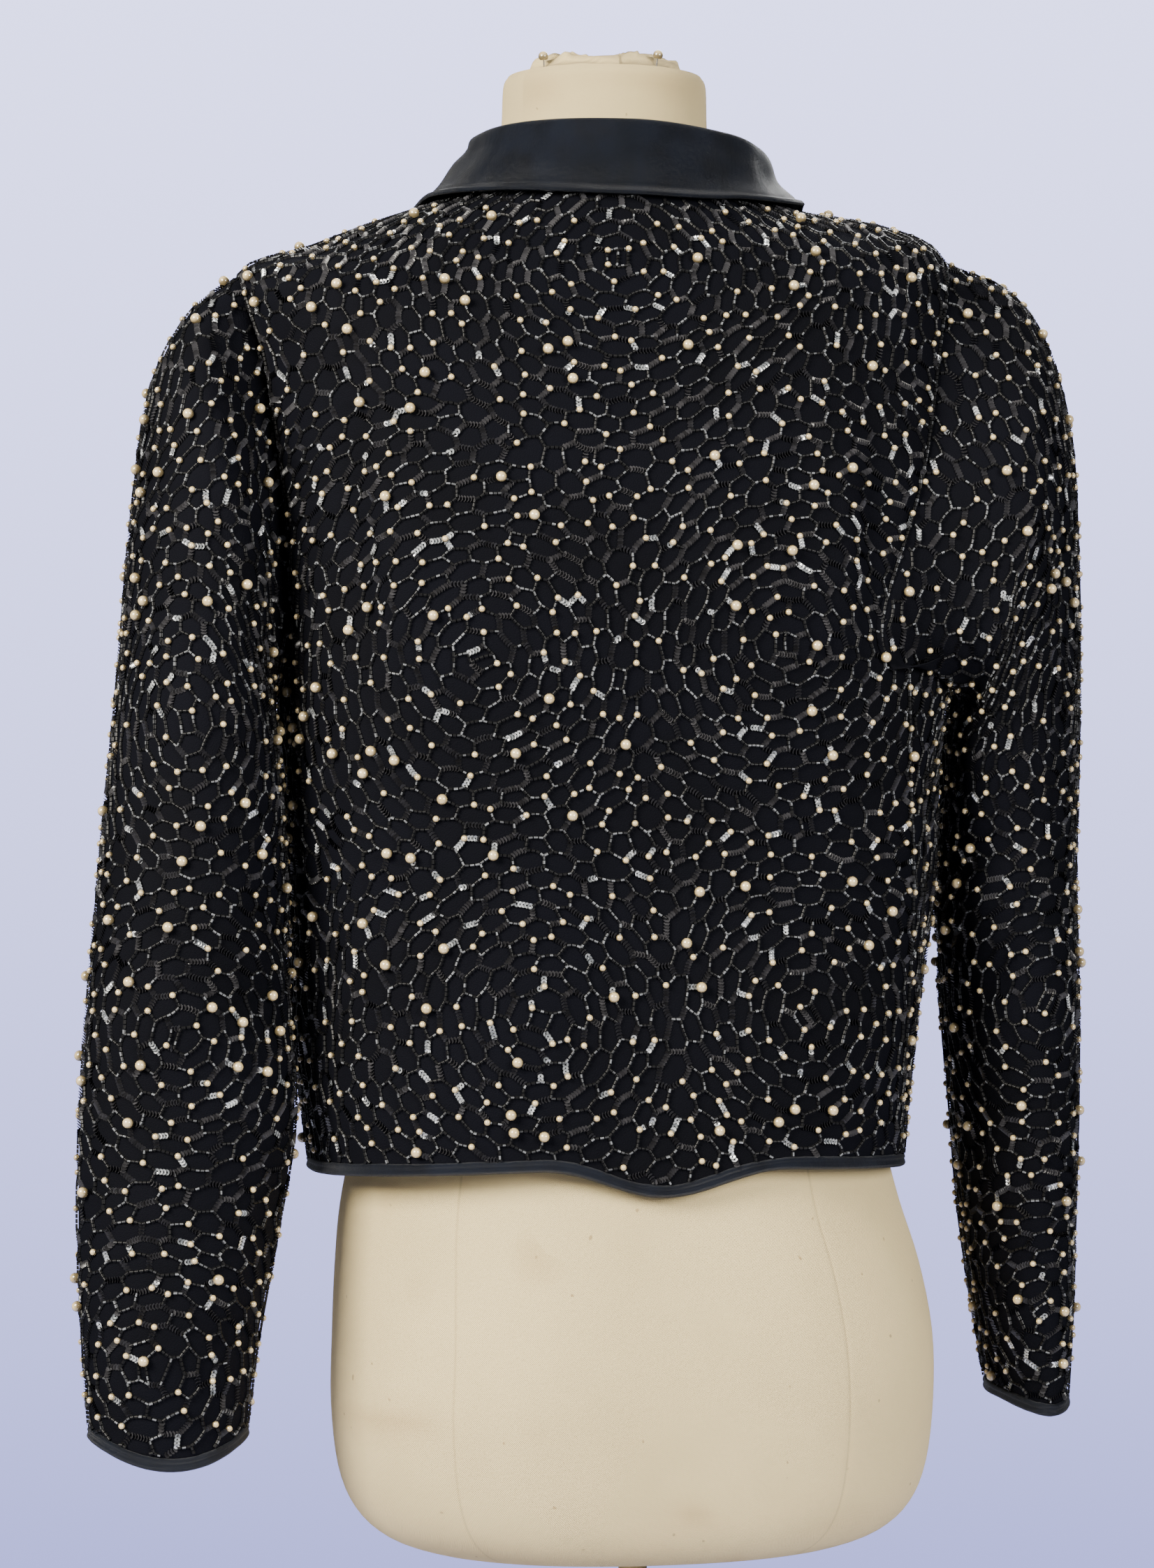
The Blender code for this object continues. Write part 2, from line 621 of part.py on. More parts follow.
def hem_points():
    """Middle of the hem binding, under the middle of the wall, from one front to the other."""
    right_seam = edge_angle("right", 0.0, None, "front")
    left_seam = edge_angle("left", 0.0, None, "front")
    angles = []
    for column in range(FRONT_COLUMNS):
        angles.append(-FRONT_EDGE_ANGLE + (FRONT_EDGE_ANGLE - right_seam) * column / FRONT_COLUMNS)
    for column in range(BACK_COLUMNS):
        angles.append(-right_seam + (right_seam + left_seam) * column / BACK_COLUMNS)
    for column in range(FRONT_COLUMNS + 1):
        angles.append(left_seam + (FRONT_EDGE_ANGLE - left_seam) * column / FRONT_COLUMNS)
    points = []
    for degrees in angles:
        middle = body_point(degrees, 0.0) - 0.5 * WALL * body_normal(degrees, 0.0)
        points.append(middle - Vector((0.0, 0.0, BINDING_RADIUS + SEAM)))
    return points


def cuff_points(side):
    """Middle of a cuff binding, under the middle of the sleeve's wall."""
    surface = sleeve_surface(side)
    last = float(len(SLEEVE_RINGS[side]))
    columns = 2 * ARMHOLE_STEPS
    points = []
    for column in range(columns):
        turn = column / columns
        normal = -SIDE_SIGN[side] * outward(surface, turn, last, SLEEVE_STEP)
        middle = surface(turn, last) - 0.5 * WALL * normal
        points.append(middle - Vector((0.0, 0.0, BINDING_RADIUS + SEAM)))
    return points


def collar_station(degrees):
    """Read the collar's sizes at an angle, between the two stations next to it."""
    for before, after in zip(COLLAR_STATIONS, COLLAR_STATIONS[1:]):
        if degrees <= after.angle:
            break
    share = ease((degrees - before.angle) / (after.angle - before.angle))
    return CollarStation(*(a + (b - a) * share for a, b in zip(before, after)))


def collar_profile(degrees):
    """Points across the collar, from the neckline up, over the fold and down to its outer edge."""
    station = collar_station(degrees)
    angle = math.radians(degrees)
    away = Vector((math.sin(angle), math.cos(angle), 0.0))
    up = Vector((0.0, 0.0, 1.0))
    base = body_point(degrees, NECK_ROW) + 3 * SEAM * up
    fold = base + station.fold_out * away + station.fold_rise * up
    crest = COLLAR_FOLD_RADIUS
    stand = [
        base,
        base + COLLAR_STAND_SHARE * station.fold_rise * up,
        fold - crest * (away + COLLAR_CREST_DROP * up),
        fold,
    ]

    def over_body(row):
        return body_point(degrees, row) + (COLLAR_LIFT + COLLAR_WALL) * body_normal(degrees, row)

    rise = fold - over_body(NECK_ROW)
    fall = []
    for share in COLLAR_FALL_SHARES:
        row = NECK_ROW + (station.edge_row - NECK_ROW) * share
        fall.append(over_body(row) + rise * (1 - share) ** COLLAR_FALL_POWER)
    return stand + fall


def make_collar(collection):
    """The collar, stand and fall in one folded wall."""
    first = COLLAR_STATIONS[0].angle
    last = COLLAR_STATIONS[-1].angle
    count = len(collar_profile(0.0))

    def surface(degrees, place):
        return spline(collar_profile(degrees), place)

    outer = []
    inner = []
    steps = 2 * (count - 1)
    for step in range(steps + 1):
        place = (count - 1) * step / steps
        outer_row = []
        inner_row = []
        for column in range(COLLAR_COLUMNS + 1):
            degrees = first + (last - first) * column / COLLAR_COLUMNS
            point = surface(degrees, place)
            within = min(max(degrees, first + COLLAR_END), last - COLLAR_END)
            normal = -outward(surface, within, place, BODY_STEP)
            outer_row.append(point)
            inner_row.append(point - COLLAR_WALL * normal)
        outer.append(outer_row)
        inner.append(inner_row)
    make_object("collar", wall_mesh("collar", outer, inner, False), "satin", collection)


def form_sections():
    """Sections of the form from its foot to its neck's top, each with the jacket row over it."""
    sections = [(section, 0.0) for section in FORM_SECTIONS]
    for row in FORM_SHOULDER_ROWS:
        jacket = section_at(JACKET_SECTIONS, row)
        section = jacket._replace(
            side_z=jacket.side_z - SHOULDER_DROP / math.cos(math.radians(SHOULDER_SLOPE)),
            back_z=jacket.back_z - 2 * SHOULDER_DROP,
            front_z=jacket.front_z - 2 * SHOULDER_DROP,
            back_depth=jacket.back_depth - SHOULDER_CLEARANCE,
            front_depth=jacket.front_depth - SHOULDER_CLEARANCE,
        )
        sections.append((section, row))
    return sections + [(section, NECK_ROW) for section in FORM_NECK]


def make_form(collection, cutters):
    """The dress form: torso and neck in one closed body, with a socket for the pole."""
    shape = bmesh.new()
    rings = []
    for section, row in form_sections():
        ring = []
        for column in range(FORM_COLUMNS):
            degrees = 360.0 * column / FORM_COLUMNS
            point = section_point(section, degrees)
            point.z += right_shoulder_rise(degrees, row)
            ring.append(shape.verts.new(point))
        rings.append(ring)
    for lower, upper in zip(rings, rings[1:]):
        for column in range(FORM_COLUMNS):
            after = (column + 1) % FORM_COLUMNS
            shape.faces.new((lower[column], upper[column], upper[after], lower[after]))
    shape.faces.new(rings[0])
    shape.faces.new(rings[-1])
    bmesh.ops.recalc_face_normals(shape, faces=shape.faces)
    form = make_object("dress_form", mesh_from("dress_form", shape), "canvas", collection)
    foot = FORM_SECTIONS[0].side_z
    cut_hole(form, "pole_socket", foot - POLE_DEPTH_IN_FORM, foot + POLE_DEPTH_IN_FORM + FIT,
             cutters)


def upright_cylinder(name, radius, bottom, top, segments):
    """Mesh of an upright cylinder between two heights, on the middle of the stand."""
    shape = bmesh.new()
    bmesh.ops.create_cone(shape, cap_ends=True, segments=segments, radius1=radius, radius2=radius,
                          depth=top - bottom)
    bmesh.ops.translate(shape, verts=shape.verts, vec=(0.0, 0.0, 0.5 * (bottom + top)))
    return mesh_from(name, shape)


def cut_hole(piece, name, bottom, top, cutters):
    """Cut a hole for the pole between two heights."""
    mesh = upright_cylinder(name, POLE_RADIUS + FIT, bottom, top, POLE_SEGMENTS)
    cutter = bpy.data.objects.new(f"{name}_cutter", mesh)
    cutters.objects.link(cutter)
    cutter.hide_render = True
    cutter.display_type = "WIRE"
    cut = piece.modifiers.new(name, "BOOLEAN")
    cut.operation = "DIFFERENCE"
    cut.solver = "EXACT"
    cut.object = cutter


def make_stand(collection, cutters):
    """Round base, pole and the collar that holds the pole upright."""
    mesh = upright_cylinder("base", BASE_RADIUS, 0.0, BASE_THICKNESS, BASE_SEGMENTS)
    base = make_object("base", mesh, "base_enamel", collection)
    rounding = base.modifiers.new("edge", "BEVEL")
    rounding.width = BASE_EDGE
    rounding.segments = 2
    foot = BASE_THICKNESS + FIT
    pole_top = FORM_SECTIONS[0].side_z + POLE_DEPTH_IN_FORM
    mesh = upright_cylinder("pole", POLE_RADIUS, foot, pole_top, POLE_SEGMENTS)
    make_object("pole", mesh, "brass", collection)
    mesh = upright_cylinder("pole_collar", POLE_COLLAR_RADIUS, foot, foot + POLE_COLLAR_HEIGHT,
                            POLE_COLLAR_SEGMENTS)
    pole_collar = make_object("pole_collar", mesh, "brass", collection)
    cut_hole(pole_collar, "collar_bore", 0.0, foot + 2 * POLE_COLLAR_HEIGHT, cutters)


def main():
    """Build every piece."""
    clear_scene()
    parts = new_collection("evening_jacket_on_dress_form")
    cutters = new_collection("cutters")
    make_back(parts)
    for side in ("left", "right"):
        make_front(side, parts)
        make_sleeve(side, parts)
        make_binding(f"cuff_binding_{side}", cuff_points(side), True, parts)
    make_binding("hem_binding", hem_points(), False, parts)
    make_collar(parts)
    make_form(parts, cutters)
    make_stand(parts, cutters)


main()
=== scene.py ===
"""Looks of a cropped evening jacket of beaded net, worn by a canvas dress form on a pole.

The frame is in metres with +Z up. The base's underside is at the origin, +X is the wearer's left
and -Y is the front. Round the body an angle of 0 is the centre back and 90 the wearer's left.
"""

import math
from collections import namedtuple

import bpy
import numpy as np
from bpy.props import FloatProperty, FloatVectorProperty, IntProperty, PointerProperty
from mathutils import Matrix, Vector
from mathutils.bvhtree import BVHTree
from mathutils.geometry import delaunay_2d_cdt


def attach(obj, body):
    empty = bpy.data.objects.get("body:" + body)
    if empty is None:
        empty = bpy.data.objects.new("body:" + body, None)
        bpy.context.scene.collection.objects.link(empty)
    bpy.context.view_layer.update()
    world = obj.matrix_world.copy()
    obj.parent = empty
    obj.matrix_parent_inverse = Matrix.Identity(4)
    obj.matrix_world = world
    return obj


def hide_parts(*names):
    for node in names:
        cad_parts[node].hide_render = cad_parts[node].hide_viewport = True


bl_info = {
    "name": "Beaded evening jacket",
    "version": (1, 0, 0),
    "blender": (4, 5, 0),
    "location": "3D View > Sidebar > Jacket",
    "description": "Builds the beaded net, lining, satin, canvas form and stage",
    "category": "Object",
}

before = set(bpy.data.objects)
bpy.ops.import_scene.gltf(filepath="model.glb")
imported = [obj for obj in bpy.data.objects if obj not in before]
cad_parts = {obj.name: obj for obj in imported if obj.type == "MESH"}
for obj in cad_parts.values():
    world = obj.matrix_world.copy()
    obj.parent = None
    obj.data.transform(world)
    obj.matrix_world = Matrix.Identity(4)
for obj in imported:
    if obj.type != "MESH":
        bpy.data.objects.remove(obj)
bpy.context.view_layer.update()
BODY = "root"

# Sections of the jacket from the hem up, as the jacket was cut: heights of the side, back and
# front, half the width, depths behind and before the middle, the middle, and how square it is
SECTION_CLIMB = 1.2
JACKET = np.array((
    (0.4330, 0.4410, 0.4300, 0.1650, 0.112, 0.110, 0.0155, 0.000, 2.8),
    (0.4800, 0.4820, 0.4780, 0.1700, 0.110, 0.112, 0.0160, 0.000, 2.8),
    (0.5300, 0.5300, 0.5300, 0.1755, 0.107, 0.115, 0.0135, 0.000, 2.8),
    (0.5850, 0.5850, 0.5850, 0.1815, 0.106, 0.120, 0.0115, 0.000, 2.8),
    (0.6450, 0.6450, 0.6450, 0.1825, 0.108, 0.126, 0.0115, 0.000, 2.8),
    (0.7050, 0.7050, 0.7050, 0.1835, 0.111, 0.130, 0.0115, 0.000, 2.8),
    (0.7600, 0.7550, 0.7550, 0.1860, 0.112, 0.129, 0.0115, 0.000, 2.7),
    (0.8150, 0.8000, 0.8000, 0.1905, 0.109, 0.122, 0.0115, -0.001, 2.6),
    (0.8720, 0.8420, 0.8360, 0.1965, 0.104, 0.112, 0.0150, -0.003, 2.45),
    (0.9220, 0.8800, 0.8680, 0.2000, 0.098, 0.100, 0.0210, -0.006, 2.3),
    (0.9400, 0.9130, 0.8960, 0.1640, 0.090, 0.091, 0.0150, -0.012, 2.15),
    (0.9570, 0.9420, 0.9220, 0.1250, 0.079, 0.080, 0.0115, -0.018, 2.05),
    (0.9740, 0.9780, 0.9520, 0.0740, 0.064, 0.062, 0.0115, -0.025, 2.0),
))
ARMPIT_ROW = 5.0
SHOULDER_ROW = 9.0
NECK_ROW = 12.0

# Armholes: the angles of their middle at the foot and halfway up, and half their width
Armhole = namedtuple("Armhole", "foot_angle middle_angle half_opening")
ARMHOLES = {"left": Armhole(90.0, 100.0, 17.0), "right": Armhole(61.0, 87.0, 22.0)}
SIDES = ("left", "right")
SIDE_SIGN = {"left": 1.0, "right": -1.0}
SHOULDER_ANGLE = 90.0
HEM_SEAM_ANGLES = {"left": 86.0, "right": 70.0}
FRONT_EDGE_ANGLE = 179.6
RIGHT_SHOULDER_RISE = 0.019
RISE_FIRST_ROW = 7.0
HEM_DIP = 0.0155
HEM_DIP_ANGLE = 33.0
HEM_DIP_MIDDLE = -5.0
HEM_DIP_ROWS = 2.0

# Folds and creases of the body: angle, height, half width, half length, depth (outwards when
# above 0) and lean from upright in degrees. A sleeve's folds are placed by turns, not degrees.
Fold = namedtuple("Fold", "place height half_width half_length depth lean")
FOLD_SPREAD = 4
BODY_FOLDS = (
    Fold(-54.0, 0.790, 0.010, 0.105, -0.0050, -6.0),
    Fold(-47.0, 0.770, 0.012, 0.090, 0.0030, -4.0),
    Fold(-74.0, 0.600, 0.014, 0.120, -0.0070, 4.0),
    Fold(-74.0, 0.686, 0.020, 0.045, 0.0045, 0.0),
    Fold(98.0, 0.682, 0.022, 0.030, 0.0045, 0.0),
    Fold(96.0, 0.590, 0.022, 0.055, 0.0045, 0.0),
    Fold(95.0, 0.508, 0.022, 0.044, 0.0055, 0.0),
    Fold(-27.0, 0.520, 0.030, 0.090, 0.0025, 3.0),
    Fold(30.0, 0.540, 0.032, 0.110, 0.0030, -5.0),
    Fold(64.0, 0.770, 0.011, 0.120, -0.0055, 5.0),
    Fold(56.0, 0.760, 0.013, 0.100, 0.0035, 5.0),
    Fold(74.0, 0.560, 0.016, 0.110, -0.0060, -4.0),
    Fold(132.0, 0.800, 0.014, 0.080, -0.0050, -12.0),
    Fold(-132.0, 0.800, 0.014, 0.080, -0.0050, 12.0),
    Fold(150.0, 0.560, 0.030, 0.120, 0.0045, 4.0),
    Fold(-150.0, 0.560, 0.030, 0.120, 0.0045, -4.0),
    Fold(120.0, 0.580, 0.024, 0.110, -0.0050, -3.0),
    Fold(-120.0, 0.580, 0.024, 0.110, -0.0050, 3.0),
    Fold(-38.0, 0.640, 0.009, 0.060, -0.0012, 14.0),
    Fold(-15.0, 0.850, 0.012, 0.050, 0.0010, -20.0),
    Fold(12.0, 0.590, 0.010, 0.070, -0.0010, 8.0),
    Fold(44.0, 0.660, 0.009, 0.055, -0.0014, -16.0),
    Fold(22.0, 0.870, 0.012, 0.045, 0.0012, 24.0),
    Fold(-62.0, 0.500, 0.008, 0.050, 0.0014, 10.0),
    Fold(3.0, 0.480, 0.014, 0.045, -0.0012, -4.0),
    Fold(140.0, 0.700, 0.010, 0.070, -0.0015, 14.0),
    Fold(-140.0, 0.700, 0.010, 0.070, -0.0015, -10.0),
)

# Sleeve rings from the shoulder down: the point next to the body, the point farthest from it
# and half the depth from front to back. X is counted outwards, on the sleeve's own side.
SLEEVE_RINGS = {
    "left": np.array((
        (0.2005, -0.002, 0.6920, 0.2500, 0.002, 0.8985, 0.0640),
        (0.2010, 0.004, 0.6740, 0.2705, 0.004, 0.8560, 0.0660),
        (0.1985, 0.009, 0.6500, 0.2810, 0.009, 0.7860, 0.0640),
        (0.1970, 0.017, 0.6180, 0.2890, 0.015, 0.6980, 0.0600),
        (0.1960, 0.026, 0.5750, 0.2990, 0.024, 0.6030, 0.0550),
        (0.1955, 0.032, 0.5200, 0.3070, 0.032, 0.5200, 0.0480),
        (0.1935, 0.039, 0.4600, 0.3115, 0.039, 0.4600, 0.0420),
        (0.2040, 0.046, 0.4000, 0.3130, 0.046, 0.4000, 0.0395),
        (0.2145, 0.051, 0.3470, 0.3110, 0.051, 0.3470, 0.0375),
        (0.2215, 0.055, 0.2975, 0.3075, 0.055, 0.2975, 0.0324),
    )),
    "right": np.array((
        (0.1790, 0.046, 0.6940, 0.2240, -0.004, 0.9170, 0.0650),
        (0.1795, 0.034, 0.6750, 0.2495, -0.006, 0.8580, 0.0660),
        (0.1770, 0.021, 0.6500, 0.2570, -0.008, 0.7760, 0.0650),
        (0.1760, 0.009, 0.6180, 0.2585, -0.009, 0.6900, 0.0640),
        (0.1760, -0.002, 0.5750, 0.2590, -0.010, 0.6000, 0.0625),
        (0.1825, -0.010, 0.5240, 0.2595, -0.012, 0.5240, 0.0620),
        (0.1905, -0.016, 0.4600, 0.2600, -0.016, 0.4600, 0.0610),
        (0.1970, -0.021, 0.4000, 0.2600, -0.021, 0.4000, 0.0580),
        (0.2065, -0.026, 0.3440, 0.2600, -0.026, 0.3440, 0.0540),
        (0.2165, -0.030, 0.2950, 0.2580, -0.030, 0.2950, 0.0500),
    )),
}
ARMHOLE_HALF_DEPTH = 0.062
UNTWIST_RINGS = 5.0
SLEEVE_GAP = 0.0004
UNDERARM_LIFT = {"left": 0.0, "right": 0.0018}
CUFF_DROP = {"left": 0.014, "right": 0.006}
SLEEVE_GIRTH = 0.36
FOLD_FADE_RINGS = 0.8
SLEEVE_FOLDS = {
    "left": (
        Fold(0.18, 0.780, 0.012, 0.110, -0.0060, 8.0),
        Fold(0.10, 0.570, 0.012, 0.050, -0.0050, 62.0),
        Fold(0.14, 0.520, 0.012, 0.050, -0.0045, 70.0),
        Fold(0.90, 0.545, 0.012, 0.060, -0.0050, -65.0),
        Fold(0.86, 0.500, 0.012, 0.055, -0.0045, -60.0),
        Fold(0.36, 0.640, 0.020, 0.090, -0.0030, 10.0),
        Fold(0.30, 0.480, 0.008, 0.045, -0.0015, 50.0),
        Fold(0.42, 0.410, 0.009, 0.040, -0.0013, -35.0),
        Fold(0.24, 0.380, 0.008, 0.040, 0.0012, 30.0),
        Fold(0.62, 0.560, 0.010, 0.060, -0.0018, -30.0),
        Fold(0.72, 0.430, 0.009, 0.050, -0.0015, 40.0),
    ),
    "right": (
        Fold(0.22, 0.780, 0.010, 0.110, -0.0060, -4.0),
        Fold(0.98, 0.680, 0.022, 0.045, 0.0050, 0.0),
        Fold(0.31, 0.760, 0.010, 0.100, -0.0045, -6.0),
        Fold(0.12, 0.600, 0.012, 0.055, -0.0045, 66.0),
        Fold(0.16, 0.530, 0.012, 0.050, -0.0040, 60.0),
        Fold(0.88, 0.560, 0.012, 0.060, -0.0050, -62.0),
        Fold(0.40, 0.600, 0.020, 0.090, -0.0025, -8.0),
        Fold(0.26, 0.470, 0.008, 0.045, -0.0015, 48.0),
        Fold(0.35, 0.400, 0.009, 0.040, -0.0012, -40.0),
        Fold(0.60, 0.600, 0.010, 0.060, -0.0018, 30.0),
        Fold(0.70, 0.450, 0.009, 0.050, -0.0015, -35.0),
    ),
}

# Collar, round the neck from the back: angle, height of the fold above the neckline, how far the
# fold stands out, and the jacket row over which the outer edge lies
COLLAR = np.array((
    (-177.5, 0.0130, 0.0040, 9.15),
    (-150.0, 0.0150, 0.0080, 10.00),
    (-115.0, 0.0180, 0.0130, 11.05),
    (-85.0, 0.0210, 0.0155, 11.33),
    (-45.0, 0.0235, 0.0150, 11.55),
    (0.0, 0.0260, 0.0130, 11.63),
    (45.0, 0.0275, 0.0090, 11.64),
    (85.0, 0.0280, 0.0020, 11.60),
    (115.0, 0.0200, 0.0040, 11.20),
    (150.0, 0.0150, 0.0060, 10.00),
    (177.5, 0.0130, 0.0040, 9.15),
))
COLLAR_WALL = 0.0022
COLLAR_LIFT = 0.0022
COLLAR_FOLD_RADIUS = 0.0042
COLLAR_NECK_GAP = 0.0009
COLLAR_STAND_SHARE = 0.4
COLLAR_CREST_DROP = 0.7
COLLAR_FALL_SHARES = (0.22, 0.48, 0.74, 1.0)
COLLAR_FALL_POWER = 1.5
COLLAR_EDGE_PLACE = 7.0
COLLAR_LOWEST = 0.86

# Dress form: sections from the foot to the neck's top, in the jacket's columns. Its shoulders
# lie under the jacket's own rows.
FORM_TORSO = np.array((
    (0.2190, 0.2190, 0.2190, 0.100, 0.070, 0.064, 0.000, 0.000, 2.2),
    (0.2215, 0.2215, 0.2215, 0.120, 0.086, 0.078, 0.000, 0.000, 2.2),
    (0.2290, 0.2290, 0.2290, 0.1405, 0.098, 0.089, 0.000, 0.000, 2.25),
    (0.2430, 0.2430, 0.2430, 0.1555, 0.107, 0.097, 0.000, 0.000, 2.3),
    (0.2650, 0.2650, 0.2650, 0.1645, 0.113, 0.102, 0.000, 0.000, 2.3),
    (0.3000, 0.3000, 0.3000, 0.1685, 0.116, 0.104, 0.000, 0.000, 2.3),
    (0.3380, 0.3380, 0.3380, 0.1680, 0.114, 0.104, 0.000, 0.000, 2.3),
    (0.3760, 0.3760, 0.3760, 0.1635, 0.110, 0.102, 0.003, 0.000, 2.3),
    (0.4100, 0.4100, 0.4100, 0.1565, 0.104, 0.099, 0.007, 0.000, 2.3),
    (0.4450, 0.4450, 0.4450, 0.1480, 0.098, 0.096, 0.008, 0.000, 2.3),
    (0.5000, 0.5000, 0.5000, 0.1320, 0.088, 0.089, 0.008, 0.000, 2.3),
    (0.5600, 0.5600, 0.5600, 0.1230, 0.082, 0.088, 0.010, 0.000, 2.3),
    (0.6300, 0.6300, 0.6300, 0.1310, 0.087, 0.099, 0.011, 0.000, 2.3),
    (0.7000, 0.7000, 0.7000, 0.1460, 0.095, 0.112, 0.0115, 0.000, 2.3),
    (0.7600, 0.7560, 0.7560, 0.1530, 0.098, 0.113, 0.0115, 0.000, 2.3),
    (0.8150, 0.8050, 0.8050, 0.1560, 0.096, 0.104, 0.0115, -0.001, 2.3),
    (0.8700, 0.8450, 0.8400, 0.1640, 0.091, 0.095, 0.0115, -0.003, 2.3),
    (0.9120, 0.8800, 0.8700, 0.1750, 0.086, 0.088, 0.0115, -0.008, 2.2),
))
FORM_NECK = np.array((
    (0.9735, 0.9640, 0.9480, 0.0665, 0.0565, 0.057, 0.0115, -0.025, 2.0),
    (0.9900, 0.9840, 0.9740, 0.0605, 0.0545, 0.056, 0.0115, -0.025, 2.0),
    (1.0120, 1.0100, 1.0060, 0.0580, 0.0540, 0.055, 0.0112, -0.025, 2.0),
    (1.0330, 1.0330, 1.0330, 0.0572, 0.0540, 0.055, 0.0110, -0.025, 2.0),
    (1.0390, 1.0390, 1.0390, 0.0545, 0.0515, 0.052, 0.0110, -0.025, 2.0),
))
FORM_SHOULDER_ROWS = (9.75, 10.0, 10.5, 11.0, 11.5, 11.8)
SHOULDER_DROP = 0.0040
SHOULDER_CLEARANCE = 0.006
SHOULDER_SLOPE = 22.0
NECK_TOP = Vector((0.0110, -0.0255, 1.0400))
NECK_RADIUS = 0.0545
FORM_SEAMS = (-132.0, -90.0, -45.0, 52.0, 90.0, 132.0, 180.0)
FORM_SEAM_WIDTH = 0.0007
FORM_SEAM_STEPS = (-1.3, -0.6, -0.25, 0.0, 0.25, 0.6, 1.3)

# Whorls of the net, the middles of its rings of cells: X and height above the floor on the
# body, and the flat distance from the sleeve's middle and the height on a sleeve
BACK_WHORLS = ((0.101, 0.707), (-0.063, 0.718), (0.074, 0.517), (-0.072, 0.520), (0.020, 0.925))
FRONT_WHORLS = ((0.030, 0.740), (-0.050, 0.560), (0.060, 0.560), (-0.020, 0.880))
SLEEVE_WHORLS = {
    "left": ((-0.085, 0.680), (-0.070, 0.510), (-0.055, 0.330), (0.100, 0.720), (0.090, 0.560),
             (0.080, 0.380), (0.000, 0.850)),
    "right": ((-0.090, 0.690), (-0.080, 0.520), (-0.070, 0.350), (0.100, 0.710), (0.090, 0.550),
              (0.080, 0.390), (0.000, 0.850)),
}

# Small steps by which a surface's slope is read
BODY_STEP = (0.4, 0.04)
SLEEVE_STEP = (0.01, 0.05)
ARMHOLE_STEP = 0.002


class NetSettings(bpy.types.PropertyGroup):
    """Sizes of the beaded net."""

    ring_step: FloatProperty(
        name="Cell height", description="Distance between the rings of cells round a whorl",
        default=0.0090, min=0.004, unit="LENGTH")
    cell_length: FloatProperty(
        name="Cell length", description="Length of a cell along its ring",
        default=0.0156, min=0.005, unit="LENGTH")
    bugle_length: FloatProperty(
        name="Bugle length", description="Length of one bugle bead with its gap",
        default=0.0025, min=0.001, unit="LENGTH")
    bugle_radius: FloatProperty(
        name="Bugle radius", description="Radius of a bugle bead",
        default=0.00090, min=0.0003, unit="LENGTH")
    sequin_radius: FloatProperty(
        name="Sequin radius", description="Radius of a sequin",
        default=0.0018, min=0.0005, unit="LENGTH")
    sequin_step: FloatProperty(
        name="Sequin step", description="Distance between overlapping sequins on a chain",
        default=0.00165, min=0.0005, unit="LENGTH")
    sequin_share: FloatProperty(
        name="Sequin share", description="Share of the net's strands that carry sequins",
        default=0.36, min=0.0, max=1.0, subtype="FACTOR")
    glint_share: FloatProperty(
        name="Pale sequins", description="Share of the sequin chains that end in pale sequins",
        default=0.085, min=0.0, max=1.0, subtype="FACTOR")
    net_depth: FloatProperty(
        name="Net depth", description="How far the net's threads lie under its outer face",
        default=0.0010, min=0.0, unit="LENGTH")
    pearl_radius: FloatProperty(
        name="Small pearl radius", description="Radius of a small pearl",
        default=0.00185, min=0.001, unit="LENGTH")
    large_pearl_radius: FloatProperty(
        name="Large pearl radius", description="Radius of a large pearl",
        default=0.0030, min=0.001, unit="LENGTH")
    pearl_share: FloatProperty(
        name="Small pearls", description="Share of the net's knots that carry a small pearl",
        default=0.285, min=0.0, max=1.0, subtype="FACTOR")
    large_pearl_share: FloatProperty(
        name="Large pearls", description="Share of the net's knots that carry a large pearl",
        default=0.034, min=0.0, max=1.0, subtype="FACTOR")
    seed: IntProperty(
        name="Seed", description="Number that settles the uneven places of the beads", default=7)


class ClothSettings(bpy.types.PropertyGroup):
    """Sizes of the lining, satin and canvas."""

    lining_depth: FloatProperty(
        name="Lining depth", description="How far the lining lies under the net's outer face",
        default=0.0015, min=0.0, unit="LENGTH")
    lining_wall: FloatProperty(
        name="Lining thickness", description="Thickness of the lining with its backing",
        default=0.0013, min=0.0002, unit="LENGTH")
    satin_wall: FloatProperty(
        name="Satin thickness", description="Thickness of the folded satin",
        default=0.0016, min=0.0002, unit="LENGTH")
    binding_radius: FloatProperty(
        name="Binding radius", description="Radius of the rolled binding at hem and cuffs",
        default=0.0019, min=0.0005, unit="LENGTH")
    band_height: FloatProperty(
        name="Band height", description="Height of the stitched satin band above the binding",
        default=0.0030, min=0.001, unit="LENGTH")
    seam_depth: FloatProperty(
        name="Canvas seam depth", description="Depth of the canvas form's seams",
        default=0.00035, min=0.0, unit="LENGTH")


